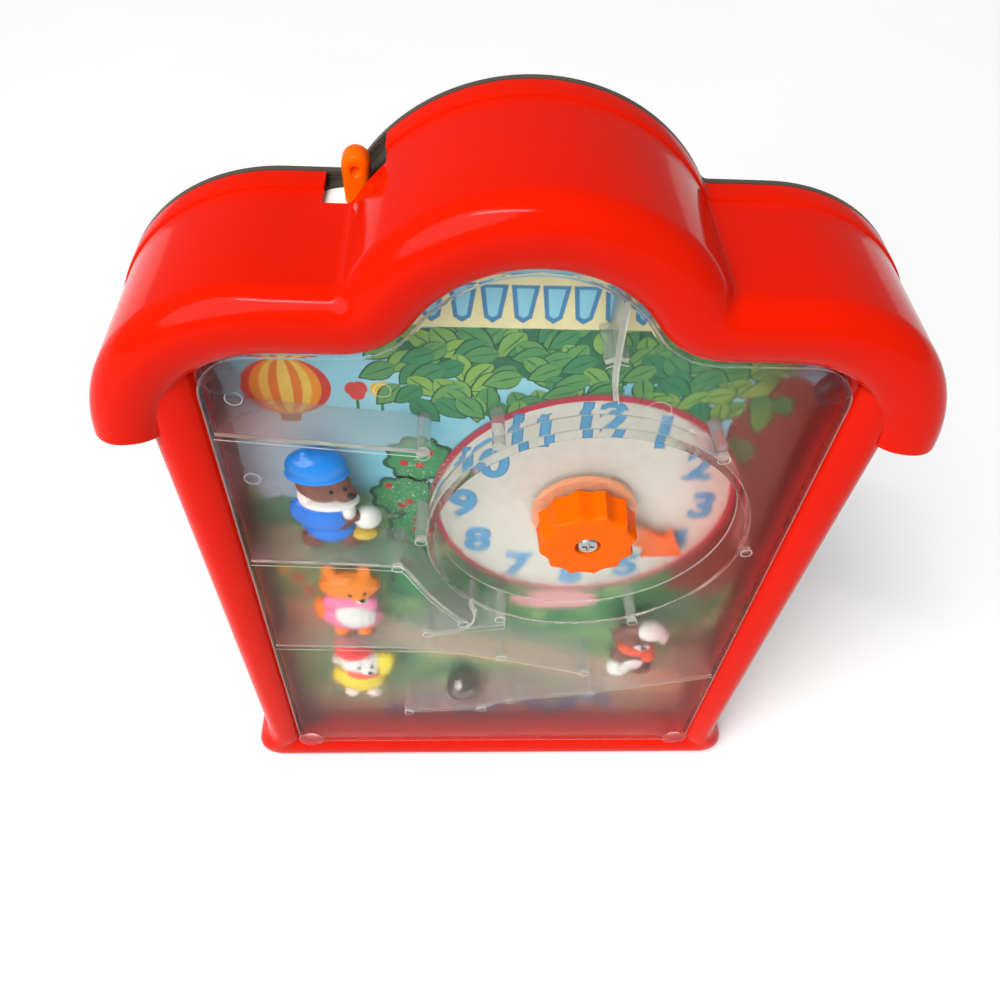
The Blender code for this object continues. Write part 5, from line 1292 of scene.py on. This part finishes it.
class CLOCK_OT_back(Operator):
    """Finishes of the rear cover, the chassis and the screws"""
    bl_idname = "clock.back"
    bl_label = "Back and screws"

    def execute(self, context):
        dress("cover", "rear_cover")
        dress("white", "chassis_plate")
        screws = ("cover_screw", "chassis_screw", "figure_pin")
        dress("steel", *(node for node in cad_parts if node.startswith(screws)))
        self.lip()
        return {"FINISHED"}

    def lip(self):
        """The cover's edge, flush with the shell's raised rim, round the roof and round the body."""
        front, back = CASE_BACK - FRONT + AIR * 2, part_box("rear_cover")[1][1] - FRONT
        edge = RIM_RAISE / 2
        profile = ((edge, front), (-RIM_RAISE, front), (-RIM_RAISE, back - edge), (-edge, back + AIR),
                   (edge, back + AIR))
        roof = [(roof_ring(inset), depth) for inset, depth in profile]
        body = []
        for inset, depth in profile:
            ring = body_ring(inset)
            ring = ring[ring[:, 1] < EAVE_HEIGHT + 0.006]
            body.append((np.column_stack([ring[:, 0], np.minimum(ring[:, 1], EAVE_HEIGHT)]), depth))
        build("cover_lip", *joined([beam(roof), beam(body)]), "cover", smooth=32)


class CLOCK_OT_ball(Operator):
    """Polished ball"""
    bl_idname = "clock.ball"
    bl_label = "Ball"

    def execute(self, context):
        middle = (np.array(BALL_LOW) + np.array(BALL_HIGH)) / 2
        radius = (BALL_HIGH[2] - BALL_LOW[2]) / 2
        angles = np.radians(np.linspace(0, 180, 33))
        profile = np.column_stack([radius * np.sin(angles), middle[1] - FRONT - radius * np.cos(angles)])
        profile[[0, -1], 0] = 0
        ball = build("ball_polished", *turned((middle[0], middle[2]), profile), "chrome", "ball", smooth=0)
        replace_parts(ball, "steel_ball")
        return {"FINISHED"}


def egg(figure, share, halves, lobes=0, wave=0.0):
    """A closed egg: centre and half sizes are shares of the figure's height, across, up and forward.

    Its radius waves round the upright axis by a cosine with a number of lobes.
    """
    u = np.linspace(0, 2 * np.pi, EGG_COLUMNS, endpoint=False)[None, :]
    v = np.linspace(0, np.pi, EGG_ROWS)[:, None]
    swell = 1 + wave * np.cos(lobes * u)
    unit = np.stack([np.sin(v) * np.cos(u) * swell, np.sin(v) * np.sin(u) * swell,
                     np.cos(v) * np.ones_like(u)], axis=-1)
    centre, height = figure
    across, up, forward = share
    wide, tall, deep = halves
    place = np.array(centre) + np.array((across * EGG_STRETCH, -forward, up)) * height
    points = place + unit * np.array((wide * EGG_STRETCH, deep, tall)) * height
    return points, grid_faces(EGG_ROWS, EGG_COLUMNS, closed_columns=True)


def cast(animal, part, colour, eggs):
    """Painted parts of an animal in one colour, melted together by a voxel remesh where it is wanted."""
    low, high = (np.array(corner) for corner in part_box(animal + "_figure"))
    figure = ((low[0] + high[0]) / 2, (low[1] + high[1]) / 2, low[2]), high[2] - low[2]
    name = f"{animal}_{part}"
    points, faces = joined([egg(figure, one[:3], one[3:6], *one[6:]) for one in eggs])
    paint = moulded(name + " paint", colour, PAINT_GLOSS.get(part, 0.30), 0.90, 0.12, 0.00008)
    piece = build(name, points, faces, paint, animal, animal + "_paint", 0)
    if part not in STANDS_ALONE:
        merge = piece.modifiers.new("Melt", "REMESH")
        merge.mode = "VOXEL"
        merge.voxel_size = MELT_VOXEL
        merge.use_smooth_shade = True
        soften = piece.modifiers.new("Soften", "SMOOTH")
        soften.factor = 0.5
        soften.iterations = 3
    return piece


class CLOCK_OT_animals(Operator):
    """Bear cub with a beanie and scarf, fox in a dress, lamb with a cone hat, and puppy with a scarf"""
    bl_idname = "clock.animals"
    bl_label = "Animals"

    def execute(self, context):
        for animal, parts in ANIMALS.items():
            pieces = [cast(animal, *part) for part in parts]
            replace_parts(pieces[0], animal + "_figure")
        return {"FINISHED"}


class CLOCK_OT_stage(Operator):
    """Pale floor, soft lights and the camera"""
    bl_idname = "clock.stage"
    bl_label = "Stage"

    def execute(self, context):
        studio = context.scene.clock_studio
        self.floor(studio.floor_size)
        self.window_light(studio)
        self.panel_light("strip", (-0.25, -0.45, 1.18), (0, 0, 0.25), (0.50, 0.006), studio.panel)
        world = bpy.data.worlds.new("studio")
        context.scene.world = world
        world.use_nodes = True
        sky = world.node_tree.nodes["Background"].inputs
        sky["Color"].default_value = (1, 1, 1, 1)
        sky["Strength"].default_value = studio.sky
        context.scene.view_settings.view_transform = "Standard"
        self.camera(context.scene)
        return {"FINISHED"}

    def floor(self, size):
        """A large flat disc just under the base."""
        ring = arc((0, 0), size, 0, 360, 64)[:-1]
        points = [(0, 0, -AIR)] + [(x, y, -AIR) for x, y in ring]
        mesh = bpy.data.meshes.new("floor")
        mesh.from_pydata(points, [], [[0, 1 + (i + 1) % 64, 1 + i] for i in range(64)])
        pale = Nodes("pale floor", (0.86, 0.86, 0.86), 0.7)
        pale.set("Base Color", pale.mix(pale.spread(pale.noise(3), 0, 1), (0.85, 0.85, 0.85),
                                        (0.88, 0.88, 0.88)))
        mesh.materials.append(pale.material)
        linked("floor", mesh)

    def window_light(self, studio):
        """Even soft light from the left, the front and above."""
        lamp = bpy.data.lights.new("window light", "SUN")
        lamp.energy = studio.window
        lamp.angle = studio.window_width
        linked(lamp.name, lamp).rotation_euler = self.turn_to((0.6, 0.6, -0.75))

    def panel_light(self, name, spot, target, size, power):
        """A small rectangular light that points at the clock."""
        lamp = bpy.data.lights.new(name, "AREA")
        lamp.shape = "RECTANGLE"
        lamp.size, lamp.size_y = size
        lamp.energy = power
        holder = linked(name, lamp)
        holder.location = spot
        holder.rotation_euler = self.turn_to(Vector(target) - Vector(spot))

    def turn_to(self, way):
        """The turn that points a light along a way."""
        return Vector(way).to_track_quat("-Z", "Y").to_euler()

    def camera(self, scene):
        """The photograph's viewpoint: a pitch down, a turn about Z and a roll about the view."""
        lens = bpy.data.cameras.new("camera")
        lens.lens = CAMERA_LENS
        lens.sensor_width = 36
        lens.clip_start = 0.01
        holder = linked("camera", lens)
        turn = (Matrix.Rotation(math.radians(CAMERA_YAW), 4, "Z")
                @ Matrix.Rotation(math.radians(90 - CAMERA_PITCH), 4, "X")
                @ Matrix.Rotation(math.radians(CAMERA_ROLL), 4, "Z"))
        holder.matrix_world = Matrix.Translation(CAMERA_PLACE) @ turn
        scene.camera = holder


class CLOCK_PT_panel(Panel):
    """Sidebar panel that lists the steps"""
    bl_label = "Toy clock"
    bl_idname = "CLOCK_PT_panel"
    bl_space_type = "VIEW_3D"
    bl_region_type = "UI"
    bl_category = "Toy Clock"

    def draw(self, context):
        for step in STEPS:
            self.layout.operator(step.bl_idname)


STEPS = (CLOCK_OT_shell, CLOCK_OT_window, CLOCK_OT_dial, CLOCK_OT_picture, CLOCK_OT_knob, CLOCK_OT_lever,
         CLOCK_OT_back, CLOCK_OT_ball, CLOCK_OT_animals, CLOCK_OT_stage)
GROUPS = {"clock_case": CaseSettings, "clock_window": WindowSettings, "clock_picture": PictureSettings,
          "clock_studio": StudioSettings}


def register():
    for group in GROUPS.values():
        bpy.utils.register_class(group)
    for name, group in GROUPS.items():
        setattr(bpy.types.Scene, name, PointerProperty(type=group))
    for step in (*STEPS, CLOCK_PT_panel):
        bpy.utils.register_class(step)


def unregister():
    for step in (CLOCK_PT_panel, *reversed(STEPS)):
        bpy.utils.unregister_class(step)
    for name, group in GROUPS.items():
        delattr(bpy.types.Scene, name)
        bpy.utils.unregister_class(group)


def main():
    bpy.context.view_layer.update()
    register()
    for step in STEPS:
        group, action = step.bl_idname.split(".")
        getattr(getattr(bpy.ops, group), action)()


if __name__ == "__main__":
    main()
